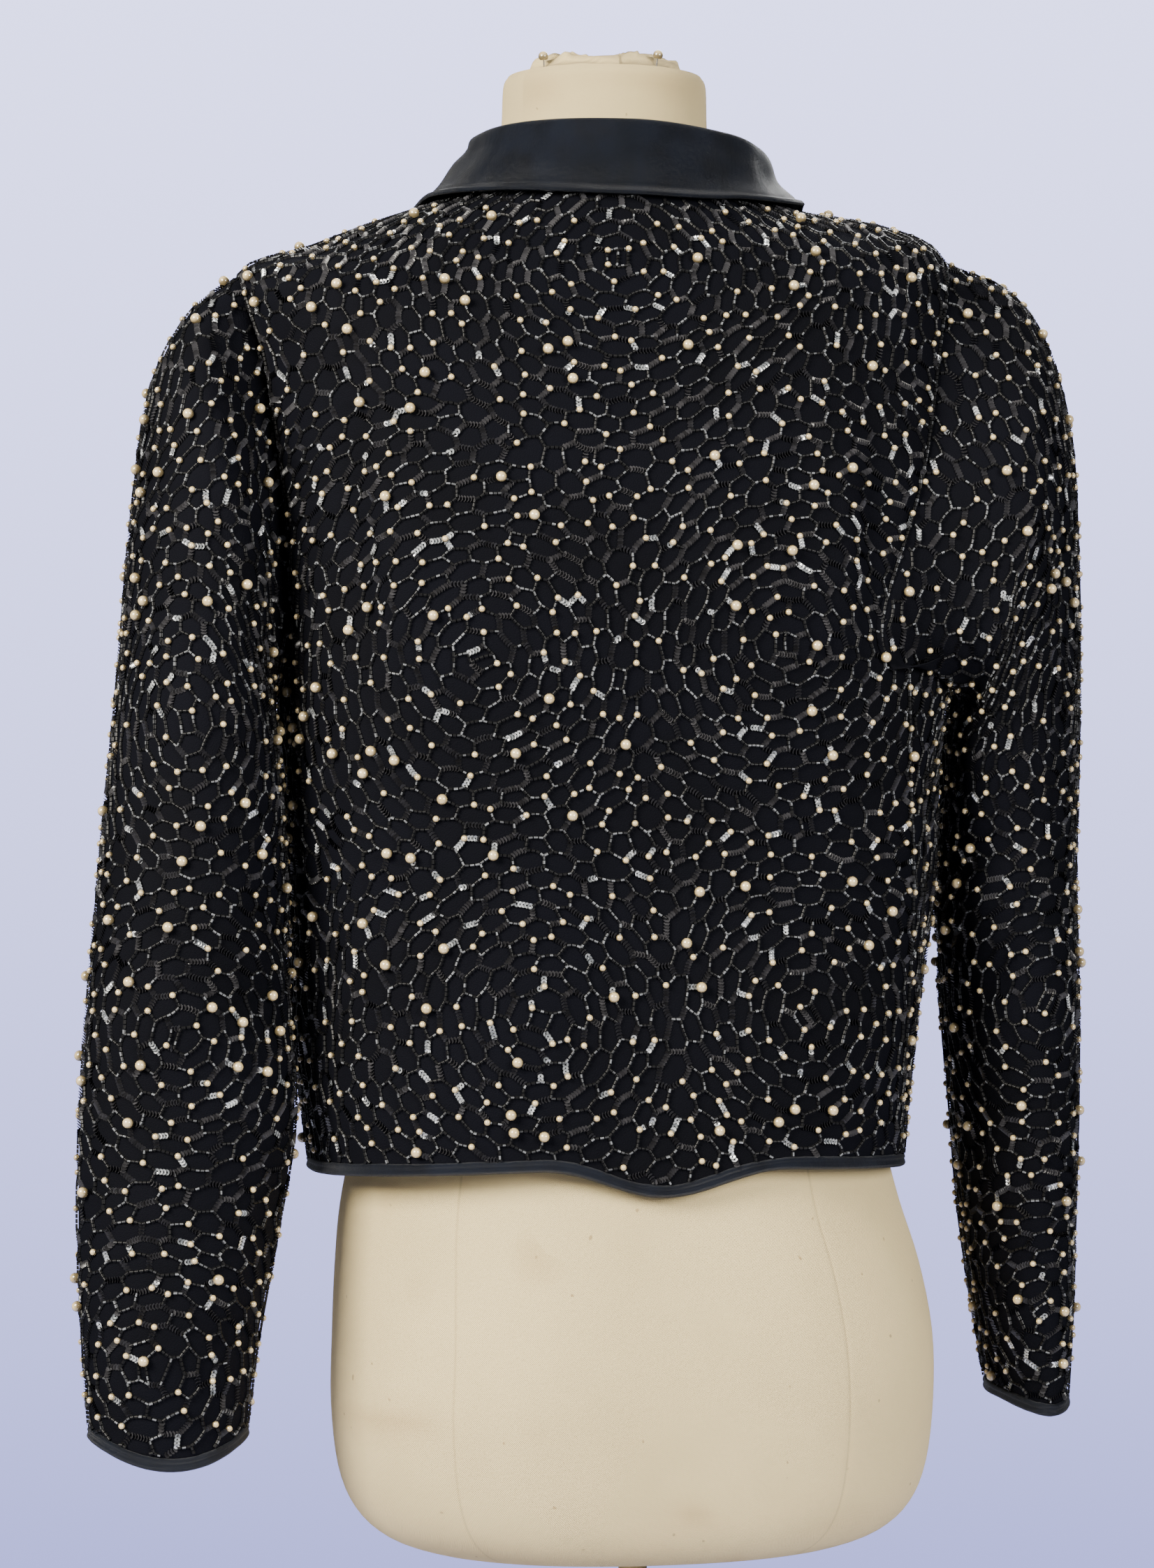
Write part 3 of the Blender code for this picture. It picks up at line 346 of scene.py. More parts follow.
class ColourSettings(bpy.types.PropertyGroup):
    """Colours of the finishes."""

    lining: FloatVectorProperty(
        name="Lining", description="Navy-black crepe", subtype="COLOR", size=4,
        default=(0.0011, 0.0013, 0.0032, 1.0), min=0.0, max=1.0)
    bugle: FloatVectorProperty(
        name="Bugles", description="Dark glass", subtype="COLOR", size=4,
        default=(0.0070, 0.0070, 0.0075, 1.0), min=0.0, max=1.0)
    sequin: FloatVectorProperty(
        name="Sequins", description="Black film", subtype="COLOR", size=4,
        default=(0.0140, 0.0137, 0.0150, 1.0), min=0.0, max=1.0)
    # Painted highlight: pale colour that stands in for glints on the sequins' film.
    sequin_glint_colour: FloatVectorProperty(
        name="Pale sequins", description="Silvery film", subtype="COLOR", size=4,
        default=(0.70, 0.76, 0.80, 1.0), min=0.0, max=1.0)
    pearl: FloatVectorProperty(
        name="Pearls", description="Cream coating", subtype="COLOR", size=4,
        default=(0.66, 0.52, 0.27, 1.0), min=0.0, max=1.0)
    satin: FloatVectorProperty(
        name="Satin", description="Black satin with a green-blue cast", subtype="COLOR", size=4,
        default=(0.0016, 0.0030, 0.0070, 1.0), min=0.0, max=1.0)
    canvas: FloatVectorProperty(
        name="Canvas", description="Cream cotton canvas", subtype="COLOR", size=4,
        default=(0.84, 0.665, 0.335, 1.0), min=0.0, max=1.0)
    stain: FloatVectorProperty(
        name="Stains", description="Yellow-brown stains on the canvas", subtype="COLOR", size=4,
        default=(0.52, 0.36, 0.17, 1.0), min=0.0, max=1.0)
    brass: FloatVectorProperty(
        name="Brass", description="Pole and its collar", subtype="COLOR", size=4,
        default=(0.60, 0.43, 0.19, 1.0), min=0.0, max=1.0)
    enamel: FloatVectorProperty(
        name="Base enamel", description="Dark enamel of the base", subtype="COLOR", size=4,
        default=(0.030, 0.028, 0.026, 1.0), min=0.0, max=1.0)


class StageSettings(bpy.types.PropertyGroup):
    """Light, floor and camera."""

    azimuth: FloatProperty(
        name="Azimuth", description="Direction of the camera round the jacket, in degrees",
        default=169.0)
    distance: FloatProperty(
        name="Distance", description="Distance of the camera", default=2.4, min=0.5, unit="LENGTH")
    aim: FloatVectorProperty(
        name="Aim", description="Point that the camera looks at", size=3, subtype="XYZ",
        default=(0.0316, 0.0, 0.642))
    lens: FloatProperty(
        name="Lens", description="Focal length in millimetres", default=99.0, min=20.0)
    key_power: FloatProperty(
        name="Key light", description="Power of the key light in watts", default=150.0, min=0.0)
    fill_power: FloatProperty(
        name="Fill light", description="Power of the fill light in watts", default=74.0, min=0.0)
    sky_strength: FloatProperty(
        name="Sky", description="Strength of the even studio light", default=0.20, min=0.0)
    floor_radius: FloatProperty(
        name="Floor radius", description="Radius of the pale floor", default=1.05, min=0.3,
        unit="LENGTH")


# Reading the garment's shape

def ease(value):
    """Rise smoothly from 0 to 1."""
    value = np.clip(value, 0.0, 1.0)
    return value * value * (3 - 2 * value)


def spline_read(read, last, place):
    """Smooth curve through evenly numbered values, given by a function that reads them."""
    place = np.clip(place, 0.0, last)
    first = np.minimum(place.astype(int), last - 1)
    part = (place - first)[..., None]
    start, end = read(first), read(first + 1)
    before = np.where((first > 0)[..., None], read(np.maximum(first - 1, 0)), 2 * start - end)
    after = np.where((first + 2 <= last)[..., None], read(np.minimum(first + 2, last)),
                     2 * end - start)
    return 0.5 * (2 * start + (end - before) * part
                  + (2 * before - 5 * start + 4 * end - after) * part ** 2
                  + (3 * start - before - 3 * end + after) * part ** 3)


def table_at(table, place):
    """Smooth curve through a table's rows, at places counted in rows."""
    return spline_read(lambda index: table[index], len(table) - 1, np.asarray(place, float))


def section_points(section, degrees, out=0.0):
    """Points of sections' outlines moved outwards, and the distances from their middles."""
    side_z, back_z, front_z, width, back, front, middle_x, middle_y, power = np.moveaxis(
        section, -1, 0)
    sine, cosine = np.sin(np.radians(degrees)), np.cos(np.radians(degrees))
    depth = np.where(cosine > 0, back, front)
    radius = ((abs(sine) / width) ** power + (abs(cosine) / depth) ** power) ** (-1 / power)
    end_z = np.where(cosine > 0, back_z, front_z)
    height = side_z + (end_z - side_z) * abs(cosine) ** SECTION_CLIMB
    reach = radius + out
    return np.stack([middle_x + reach * sine, middle_y + reach * cosine, height], -1), radius


def fold_relief(fold, along, height):
    """Depth of one fold at places given by their distance across it and their height."""
    rise = height - fold.height
    lean = math.radians(fold.lean)
    across = along * math.cos(lean) - rise * math.sin(lean)
    down = np.clip((along * math.sin(lean) + rise * math.cos(lean)) / fold.half_length, -1, 1)
    swell = np.cos(0.5 * np.pi * down) ** 2 * np.exp(-((across / fold.half_width) ** 2))
    return fold.depth * swell * (abs(along) < FOLD_SPREAD * fold.half_width)


def right_shoulder_rise(degrees, row):
    """Extra height of the right shoulder, which is carried higher than the left."""
    aside = np.maximum(-np.sin(np.radians(degrees)), 0.0) ** 3
    share = np.clip((row - RISE_FIRST_ROW) / (NECK_ROW - RISE_FIRST_ROW), 0.0, 1.0)
    return RIGHT_SHOULDER_RISE * aside * np.sin(np.pi * share) ** 2


def body_points(degrees, row):
    """Points of the jacket's outer face at angles round the body and rows of its sections."""
    degrees, row = np.broadcast_arrays(np.asarray(degrees, float), np.asarray(row, float))
    section = table_at(JACKET, row)
    plain, radius = section_points(section, degrees)
    relief = np.zeros(degrees.shape)
    for fold in BODY_FOLDS:
        relief += fold_relief(fold, np.radians(degrees - fold.place) * radius, plain[..., 2])
    points = section_points(section, degrees, relief)[0]
    aside = np.minimum(abs(degrees - HEM_DIP_MIDDLE) / HEM_DIP_ANGLE, 1.0)
    dip = HEM_DIP * np.cos(0.5 * np.pi * aside) ** 2 * (1 - ease(row / HEM_DIP_ROWS))
    points[..., 2] += right_shoulder_rise(degrees, row) - dip
    return points


def unit(vectors):
    """Vectors of length 1 in the same directions."""
    return vectors / np.maximum(np.linalg.norm(vectors, axis=-1, keepdims=True), 1e-12)


def outward(surface, first, second, step):
    """Outward directions of a surface whose first number runs round and second runs up."""
    around = surface(first + step[0], second) - surface(first - step[0], second)
    up = surface(first, second + step[1]) - surface(first, second - step[1])
    return unit(np.cross(up, around))


def armhole_angle(side, turn):
    """Angle of the armhole's edge: turn is 0 at its foot, 0.25 at the back, 0.5 at the top."""
    hole = ARMHOLES[side]
    climb = -np.cos(2 * np.pi * turn)
    slant = 0.5 * (SHOULDER_ANGLE - hole.foot_angle)
    bow = 0.5 * (SHOULDER_ANGLE + hole.foot_angle) - hole.middle_angle
    return hole.middle_angle + slant * climb + bow * climb ** 2 - hole.half_opening * np.sin(
        2 * np.pi * turn)


def armhole_row(turn):
    """Row of the jacket's sections that the armhole's edge passes."""
    return ARMPIT_ROW + 0.5 * (1 - np.cos(2 * np.pi * turn)) * (SHOULDER_ROW - ARMPIT_ROW)


def armhole_edge(side, turn):
    """Points of the armhole's edge on the body's outer face."""
    return body_points(SIDE_SIGN[side] * armhole_angle(side, turn), armhole_row(turn))


def sleeve_start(side, turn):
    """First points of the sleeve, a seam's gap off the armhole's edge."""
    edge = armhole_edge(side, turn)
    normal = outward(body_points, SIDE_SIGN[side] * armhole_angle(side, turn), armhole_row(turn),
                     BODY_STEP)
    tangent = armhole_edge(side, turn + ARMHOLE_STEP) - armhole_edge(side, turn - ARMHOLE_STEP)
    into = unit(np.cross(normal, tangent))
    foot, top = armhole_edge(side, np.array((0.0, 0.5)))
    toward = np.sum(into * (0.5 * (foot + top) - edge), axis=-1, keepdims=True)
    into = np.where(toward < 0, -into, into)
    lift = UNDERARM_LIFT[side] * np.maximum(np.cos(2 * np.pi * turn), 0.0)[..., None]
    return edge + (SLEEVE_GAP + lift) * (normal + into)


def sleeve_points(side, turn, ring):
    """Points of a sleeve's outer face without its folds, at turns round it and rings down it."""
    turn, ring = np.broadcast_arrays(np.asarray(turn, float), np.asarray(ring, float))
    shape, turn, ring = turn.shape, turn.ravel(), ring.ravel()
    sign, rings = SIDE_SIGN[side], SLEEVE_RINGS[side]
    foot, top = armhole_edge(side, np.array((0.0, 0.5)))
    axis = 0.5 * (top - foot)
    offset = armhole_edge(side, turn) - 0.5 * (foot + top)
    reach = (offset[:, 0] * axis[0] + offset[:, 2] * axis[2]) / (axis[0] ** 2 + axis[2] ** 2)
    led = np.arctan2((offset[:, 1] - reach * axis[1]) / ARMHOLE_HALF_DEPTH, reach)
    even = np.pi - 2 * np.pi * turn
    twist = (led - even + np.pi) % (2 * np.pi) - np.pi
    curves = [sleeve_start(side, turn)]
    for number, sizes in enumerate(rings, 1):
        angle = even + twist * (1 - ease(number / UNTWIST_RINGS))
        inner = sizes[0:3] * (sign, 1, 1)
        outer = sizes[3:6] * (sign, 1, 1)
        points = 0.5 * (inner + outer) + 0.5 * (outer - inner) * np.cos(angle)[:, None]
        points[:, 1] += sizes[6] * np.sin(angle)
        if number == len(rings):
            points[:, 2] -= CUFF_DROP[side] * np.maximum(np.sin(angle), 0.0) ** 2
        curves.append(points)
    curves = np.stack(curves)
    every = np.arange(len(turn))
    return spline_read(lambda index: curves[index, every], len(rings), ring).reshape(*shape, 3)


def sleeve_surface(side):
    """Surface of a sleeve with its folds, as a function of turn and ring."""
    def plain(turn, ring):
        return sleeve_points(side, turn, ring)

    def surface(turn, ring):
        points = plain(turn, ring)
        relief = np.zeros(points.shape[:-1])
        for fold in SLEEVE_FOLDS[side]:
            along = ((turn - fold.place + 0.5) % 1.0 - 0.5) * SLEEVE_GIRTH
            relief += fold_relief(fold, along, points[..., 2])
        normal = -SIDE_SIGN[side] * outward(plain, turn, ring, SLEEVE_STEP)
        return points + normal * (relief * ease(ring / FOLD_FADE_RINGS))[..., None]

    return surface


# Panels as grids

Panel = namedtuple("Panel", "points normals flat")
SKIRT_STEPS = 20
BAND_ROW = 0.07
BAND_RING = 0.07
ARMHOLE_STEPS = 26
YOKE_STEPS = 12
BACK_COLUMNS = 60
FRONT_COLUMNS = 32
SLEEVE_COLUMNS = 44
SLEEVE_STEPS = 66
FLATTEN_ROUNDS = 900
FLATTEN_PULL = 0.24


def edge_angles(side, row, turn, part):
    """Angles at which a panel ends: at the side seam, the armhole or the shoulder seam."""
    hem = HEM_SEAM_ANGLES[side]
    seam = hem + (ARMHOLES[side].foot_angle - hem) * row / ARMPIT_ROW
    hole = armhole_angle(side, turn if part == "back" else 1 - turn)
    return np.where(row < ARMPIT_ROW, seam, np.where(row > SHOULDER_ROW, SHOULDER_ANGLE, hole))


def panel_rows():
    """Rows of a body panel from the hem to the neck, and the armhole's turn at each."""
    climb = np.arange(ARMHOLE_STEPS + 1) / ARMHOLE_STEPS * 0.5
    skirt = ARMPIT_ROW * np.arange(SKIRT_STEPS) / SKIRT_STEPS
    yoke = SHOULDER_ROW + (NECK_ROW - SHOULDER_ROW) * np.arange(1, YOKE_STEPS + 1) / YOKE_STEPS
    skirt = np.insert(skirt, 1, BAND_ROW)
    rows = np.concatenate([skirt, armhole_row(climb), yoke])
    turns = np.concatenate([np.zeros(len(skirt)), climb, np.full(YOKE_STEPS, 0.5)])
    return rows, turns


def flatten(points):
    """Lay a curved grid flat with its real lengths, as the cloth was cut."""
    across = np.linalg.norm(np.diff(points, axis=1), axis=2).cumsum(axis=1)
    across = np.pad(across, ((0, 0), (1, 0)))
    climb = np.linalg.norm(np.diff(points, axis=0), axis=2).cumsum(axis=0)
    flat = np.stack([across - 0.5 * across[:, -1:], np.pad(climb, ((1, 0), (0, 0)))], -1)
    every, low, high = slice(None), slice(None, -1), slice(1, None)
    pairs = []
    for one, other in (((every, low), (every, high)), ((low, every), (high, every)),
                       ((low, low), (high, high)), ((low, high), (high, low))):
        length = np.linalg.norm(points[other] - points[one], axis=-1, keepdims=True)
        pairs.append((one, other, length))
    for _ in range(FLATTEN_ROUNDS):
        push = np.zeros_like(flat)
        for one, other, length in pairs:
            gap = flat[other] - flat[one]
            now = np.linalg.norm(gap, axis=-1, keepdims=True)
            move = gap * (1 - length / np.maximum(now, 1e-9))
            push[one] += FLATTEN_PULL * move
            push[other] -= FLATTEN_PULL * move
        flat += 0.5 * push
    return flat


def body_panel(part, side=None):
    """The back, or one front, as a grid from the hem up."""
    rows, turns = panel_rows()
    columns = BACK_COLUMNS if part == "back" else FRONT_COLUMNS
    if part == "back":
        first = -edge_angles("right", rows, turns, "back")
        last = edge_angles("left", rows, turns, "back")
    else:
        first = SIDE_SIGN[side] * edge_angles(side, rows, turns, "front")
        last = np.full(len(rows), SIDE_SIGN[side] * FRONT_EDGE_ANGLE)
    share = np.arange(columns + 1) / columns
    degrees = first[:, None] + (last - first)[:, None] * share
    rows = np.repeat(rows[:, None], columns + 1, 1)
    points = body_points(degrees, rows)
    normals = outward(body_points, degrees, rows, BODY_STEP)
    return Panel(points, normals, flatten(points))


def sleeve_panel(side):
    """One sleeve as a grid from the cuff up, opened along the seam under the arm."""
    surface = sleeve_surface(side)
    rings = len(SLEEVE_RINGS[side]) * (1 - np.arange(SLEEVE_STEPS + 1) / SLEEVE_STEPS)
    rings = np.insert(rings, 1, rings[0] - BAND_RING)
    turns, rings = np.meshgrid(np.arange(SLEEVE_COLUMNS + 1) / SLEEVE_COLUMNS, rings)
    points = surface(turns, rings)
    normals = -SIDE_SIGN[side] * outward(surface, turns, rings, SLEEVE_STEP)
    return Panel(points, normals, flatten(points))


# Meshes

def add_piece(name, vertices, faces, material):
    """Make a smooth mesh from arrays of points and of equal-sided faces, riding on the part."""
    mesh = bpy.data.meshes.new(name)
    sides = faces.shape[1]
    mesh.vertices.add(len(vertices))
    mesh.vertices.foreach_set("co", np.ascontiguousarray(vertices, np.float32).ravel())
    mesh.loops.add(faces.size)
    mesh.loops.foreach_set("vertex_index", np.ascontiguousarray(faces, np.int32).ravel())
    mesh.polygons.add(len(faces))
    mesh.polygons.foreach_set("loop_start", np.arange(0, faces.size, sides, dtype=np.int32))
    mesh.update(calc_edges=True)
    mesh.polygons.foreach_set("use_smooth", np.ones(len(faces), bool))
    mesh.validate()
    mesh.materials.append(material)
    piece = bpy.data.objects.new(name, mesh)
    bpy.context.scene.collection.objects.link(piece)
    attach(piece, BODY)
    return piece


def grid_faces(rows, columns, closed=False):
    """Faces between neighbouring points of a grid, numbered row by row."""
    row, column = np.meshgrid(np.arange(rows - 1), np.arange(columns if closed else columns - 1),
                              indexing="ij")
    after = (column + 1) % columns
    corners = (row * columns + column, row * columns + after,
               (row + 1) * columns + after, (row + 1) * columns + column)
    return np.stack([corner.ravel() for corner in corners], 1)


def shell_arrays(outer, inner, closed=False):
    """Points and faces of a closed thin wall between two grids."""
    rows, columns = outer.shape[:2]
    count = rows * columns
    face = grid_faces(rows, columns, closed)
    parts = [face, face[:, ::-1] + count]
    number = np.arange(count).reshape(rows, columns)
    if closed:
        number = np.concatenate([number, number[:, :1]], axis=1)
    edges = [number[0], number[-1][::-1]]
    if not closed:
        edges += [number[:, 0][::-1], number[:, -1]]
    for line in edges:
        parts.append(np.stack([line[1:], line[:-1], line[:-1] + count, line[1:] + count], 1))
    vertices = np.concatenate([outer.reshape(-1, 3), inner.reshape(-1, 3)])
    return vertices, np.concatenate(parts)


def quad_areas(grid):
    """Area of each cell of a grid of points."""
    one = grid[1:, 1:] - grid[:-1, :-1]
    other = grid[1:, :-1] - grid[:-1, 1:]
    return 0.5 * np.linalg.norm(np.cross(one, other), axis=-1)


def declare_cloth(grid, flat):
    """Work out the area of a piece of cloth, which nothing uses; nothing is declared and its flat
    cut is not read.
    """
    area = float(quad_areas(grid).sum())


# The beaded net

class Pattern:
    """A panel's flat pattern above its hem band, which finds any flat point on the garment."""

    def __init__(self, panel):
        rows, columns = panel.points.shape[:2]
        quads = grid_faces(rows, columns)[columns - 1:]
        self.corners = np.concatenate([quads[:, [0, 1, 2]], quads[:, [0, 2, 3]]])
        self.flat = panel.flat.reshape(-1, 2)
        self.points = panel.points.reshape(-1, 3)
        self.normals = panel.normals.reshape(-1, 3)
        upright = [(x, y, 0.0) for x, y in self.flat]
        self.tree = BVHTree.FromPolygons(upright, self.corners.tolist())

    def find(self, places):
        """Number of the flat triangle under each place, or -1 outside the pattern."""
        found = np.full(len(places), -1)
        down = Vector((0.0, 0.0, -1.0))
        for number, (x, y) in enumerate(places):
            hit = self.tree.ray_cast(Vector((x, y, 1.0)), down)
            if hit[2] is not None:
                found[number] = hit[2]
        return found

    def lift(self, places):
        """Points and outward directions on the garment of flat places inside the pattern."""
        corners = self.corners[self.find(places)]
        a, b, c = (self.flat[corners[:, k]] for k in range(3))
        ab, ac, ap = b - a, c - a, places - a
        area = ab[:, 0] * ac[:, 1] - ab[:, 1] * ac[:, 0]
        v = (ap[:, 0] * ac[:, 1] - ap[:, 1] * ac[:, 0]) / area
        w = (ab[:, 0] * ap[:, 1] - ab[:, 1] * ap[:, 0]) / area
        weights = np.stack([1 - v - w, v, w], 1)[..., None]
        normals = unit((self.normals[corners] * weights).sum(1))
        return (self.points[corners] * weights).sum(1), normals


RING_STRETCH = 1.65
RING_JITTER = 0.05
ALONG_JITTER = 0.13
NEAREST_SITES = 0.60
RING_START = 0.35
RING_PULL = 0.20
RING_BORDER = 1.2
CLIP_HALVINGS = 9


def cell_sites(pattern, whorls, net, random):
    """Middles of the net's cells: rings round each whorl, kept where that whorl is the nearest."""
    margin = 2 * net.cell_length
    low, high = pattern.flat.min(0) - margin, pattern.flat.max(0) + margin
    kept = []
    for index, centre in enumerate(whorls):
        reach = np.linalg.norm(np.maximum(abs(high - centre), abs(low - centre)))
        for ring in range(int(reach / net.ring_step)):
            radius = net.ring_step * (ring + RING_START)
            count = max(int(2 * np.pi * radius / net.cell_length), 2)
            angle = 2 * np.pi * (np.arange(count) + random.uniform()
                                 + ALONG_JITTER * random.standard_normal(count)) / count
            far = radius + net.ring_step * RING_JITTER * random.standard_normal(count)
            sites = centre + far[:, None] * np.stack([np.cos(angle), np.sin(angle)], 1)
            gaps = np.linalg.norm(sites[:, None] - whorls[None], axis=2)
            inside = (gaps.argmin(1) == index) & (sites > low).all(1) & (sites < high).all(1)
            kept.append(sites[inside])
    sites = np.concatenate(kept)
    apart = np.zeros(len(sites), bool)
    for number, site in enumerate(sites):
        near = sites[:number][apart[:number]]
        least = NEAREST_SITES * net.ring_step
        apart[number] = len(near) == 0 or ((near - site) ** 2).sum(1).min() > least ** 2
    return sites[apart]


def ring_space(places, whorls, power):
    """Spread the rings round each whorl by a power of their radius, up to halfway to the next."""
    gaps = np.linalg.norm(whorls[:, None] - whorls[None], axis=2) + np.eye(len(whorls))
    away = places[:, None] - whorls[None]
    share = np.linalg.norm(away, axis=2) / (0.5 * gaps.min(1))
    nearest = share.argmin(1)
    every = np.arange(len(places))
    share = np.clip(share[every, nearest], 1e-6, 1.0)
    return whorls[nearest] + away[every, nearest] * (share ** (power - 1))[:, None]


def drawn_to_rings(knots, whorls, net):
    """Move knots a little towards the lines between a whorl's rings, so that these show."""
    away = knots[:, None] - whorls[None]
    far = np.linalg.norm(away, axis=2)
    order = far.argsort(1)
    every = np.arange(len(knots))
    near = far[every, order[:, 0]]
    margin = far[every, order[:, 1]] - near
    line = np.round(near / net.ring_step - RING_START - 0.5) + RING_START + 0.5
    pull = RING_PULL * ease(margin / (RING_BORDER * net.ring_step))
    scale = 1 + pull * (line * net.ring_step / np.maximum(near, 1e-6) - 1)
    return whorls[order[:, 0]] + away[every, order[:, 0]] * scale[:, None]


def net_strands(pattern, sites, whorls, net):
    """Knots of the net and the strands between them, clipped to the panel's pattern."""
    spread = ring_space(sites, whorls, RING_STRETCH)
    made = delaunay_2d_cdt([Vector(site) for site in spread], [], [], 0, 1e-7)
    corners = np.array([face for face in made[2]])
    places = np.array([tuple(point) for point in made[0]])
    knots = ring_space(places[corners].mean(1), whorls, 1 / RING_STRETCH)
    knots = drawn_to_rings(knots, whorls, net)
    sides = np.sort(np.concatenate([corners[:, [0, 1]], corners[:, [1, 2]], corners[:, [2, 0]]]), 1)
    owner = np.tile(np.arange(len(corners)), 3)
    order = np.lexsort((sides[:, 1], sides[:, 0]))
    sides, owner = sides[order], owner[order]
    shared = (sides[1:] == sides[:-1]).all(1)
    strands = np.stack([owner[:-1][shared], owner[1:][shared]], 1)
    inside = pattern.find(knots) >= 0
    both = strands[inside[strands].all(1)]
    crossing = strands[inside[strands].sum(1) == 1]
    turned = np.where(inside[crossing[:, :1]], crossing, crossing[:, ::-1])
    near, far = knots[turned[:, 0]], knots[turned[:, 1]]
    low, high = np.zeros(len(turned)), np.ones(len(turned))
    for _ in range(CLIP_HALVINGS):
        middle = 0.5 * (low + high)
        within = pattern.find(near + (far - near) * middle[:, None]) >= 0
        low, high = np.where(within, middle, low), np.where(within, high, middle)
    ends = near + (far - near) * low[:, None]
    numbers = len(knots) + np.arange(len(ends))
    strands = np.concatenate([both, np.stack([turned[:, 0], numbers], 1)])
    whole = np.arange(len(knots) + len(ends)) < len(knots)
    knots = np.concatenate([knots, ends])
    used, strands = np.unique(strands, return_inverse=True)
    return knots[used], strands.reshape(-1, 2), whole[used]


Beads = namedtuple("Beads", "middle along normal length tone")


def chain(start, end, normal, bow, step, random):
    """Places of beads strung evenly along bowed strands, with the strand's number for each."""
    gap = end - start
    length = np.linalg.norm(gap, axis=1)
    count = np.maximum(np.round(length / step), 1).astype(int)
    strand = np.repeat(np.arange(len(start)), count)
    order = np.arange(len(strand)) - np.repeat(np.cumsum(count) - count, count)
    share = (order + 0.5) / count[strand]
    side = unit(np.cross(normal, gap))
    middle = start[strand] + gap[strand] * share[:, None]
    middle += side[strand] * (bow[strand] * 4 * share * (1 - share))[:, None]
    along = unit(gap[strand] + side[strand] * (bow[strand] * 4 * (1 - 2 * share))[:, None])
    return strand, order, count[strand], Beads(
        middle, along, normal[strand], length[strand] / count[strand],
        random.uniform(size=len(strand)))


BUGLE_FILL = 0.78
BUGLE_SIDES = 3
BUGLE_HEIGHT = 1.55
# Painted highlight: each bugle face's share of its bead's grey, the crest most and one side least.
BUGLE_FACE_HIGHLIGHTS = (0.72, 1.0, 0.60)


def bugle_arrays(beads, radius, depth):
    """Half-round glass tubes, open at their ends, at a depth under the net's outer face."""
    across = unit(np.cross(beads.normal, beads.along))
    angles = np.pi * np.arange(BUGLE_SIDES + 1) / BUGLE_SIDES
    base = beads.middle - beads.normal * depth
    half = 0.5 * BUGLE_FILL * beads.length[:, None]
    rings = []
    for end in (-1, 1):
        middle = base + end * half * beads.along
        for angle in angles:
            rings.append(middle + radius * (math.cos(angle) * across
                                            + BUGLE_HEIGHT * math.sin(angle) * beads.normal))
    vertices = np.stack(rings, 1)
    width = BUGLE_SIDES + 1
    template = [(k, k + 1, width + k + 1, width + k) for k in range(BUGLE_SIDES)]
    return repeated(vertices, np.array(template))


def repeated(vertices, template):
    """Join many copies of one shape: points by copy, and the faces of one copy."""
    copies, size = vertices.shape[:2]
    faces = template[None] + size * np.arange(copies)[:, None, None]
    return vertices.reshape(-1, 3), faces.reshape(-1, template.shape[1])


SEQUIN_CUP = 0.30
SEQUIN_SWAY = 16.0
DARK_TILT, DARK_SIDES, DARK_LIFT = 48.0, 6, 0.0003
PALE_TILT, PALE_SIDES, PALE_LIFT = 20.0, 10, 0.0008
PALE_SHARES = (0.26, 0.78, 1.0)
PEARL_SHOWN = 132.0


def sequin_rings(beads, radius, depth, tilt, sides, shares):
    """Rings of points of cupped discs, each tipped onto the next one of its chain."""
    tilt = np.radians(tilt + SEQUIN_SWAY * (beads.tone - 0.5))[:, None]
    across = unit(np.cross(beads.normal, beads.along))
    ahead = np.cos(tilt) * beads.along + np.sin(tilt) * beads.normal
    facing = np.cos(tilt) * beads.normal - np.sin(tilt) * beads.along
    middle = beads.middle - beads.normal * depth
    rings = []
    for share in shares:
        sunk = middle - facing * (SEQUIN_CUP * radius * (1 - share ** 2))
        for turn in 2 * np.pi * (np.arange(sides) + 0.5) / sides:
            rings.append(sunk + share * radius * (math.cos(turn) * ahead + math.sin(turn) * across))
    return rings, middle - facing * SEQUIN_CUP * radius


def dark_sequin_arrays(beads, radius, depth):
    """Plain cupped discs."""
    rim, centre = sequin_rings(beads, radius, depth - DARK_LIFT, DARK_TILT, DARK_SIDES, (1.0,))
    template = [(0, 1 + k, 1 + (k + 1) % DARK_SIDES) for k in range(DARK_SIDES)]
    shares = np.tile([0.0] + [1.0] * DARK_SIDES, len(beads.tone))
    return *repeated(np.stack([centre] + rim, 1), np.array(template)), shares, DARK_SIDES


def pale_sequin_arrays(beads, radius, depth):
    """Rounder cupped discs with a hole, whose rims catch the light."""
    rings = sequin_rings(beads, radius, depth - PALE_LIFT, PALE_TILT, PALE_SIDES, PALE_SHARES)[0]
    template = grid_faces(len(PALE_SHARES), PALE_SIDES, closed=True)
    shares = np.tile(np.repeat(PALE_SHARES, PALE_SIDES), len(beads.tone))
    return *repeated(np.stack(rings, 1), template), shares, len(template)


def pearl_arrays(middles, normals, radius, segments, rings):
    """Balls that show five sixths of their height, standing on the net."""
    side = unit(np.cross(normals, (0.31, 0.52, 0.79)))
    other = np.cross(normals, side)
    polar = np.radians(PEARL_SHOWN) * np.arange(1, rings + 1) / rings
    turns = 2 * np.pi * np.arange(segments) / segments
    points = [middles + radius * normals]
    for angle in polar:
        for turn in turns:
            points.append(middles + radius * (
                math.cos(angle) * normals
                + math.sin(angle) * (math.cos(turn) * side + math.sin(turn) * other)))
    template = [(0, 1 + k, 1 + (k + 1) % segments, 1 + (k + 1) % segments) for k in range(segments)]
    for ring in range(rings - 1):
        low = 1 + ring * segments
        for k in range(segments):
            after = (k + 1) % segments
            template.append((low + k, low + segments + k, low + segments + after, low + after))
    # Height of each point on the ball, which the pearl material reads for its painted shade.
    crown = np.concatenate([[1.0], np.repeat(np.cos(polar), segments)])
    return np.stack(points, 1), np.array(template), crown


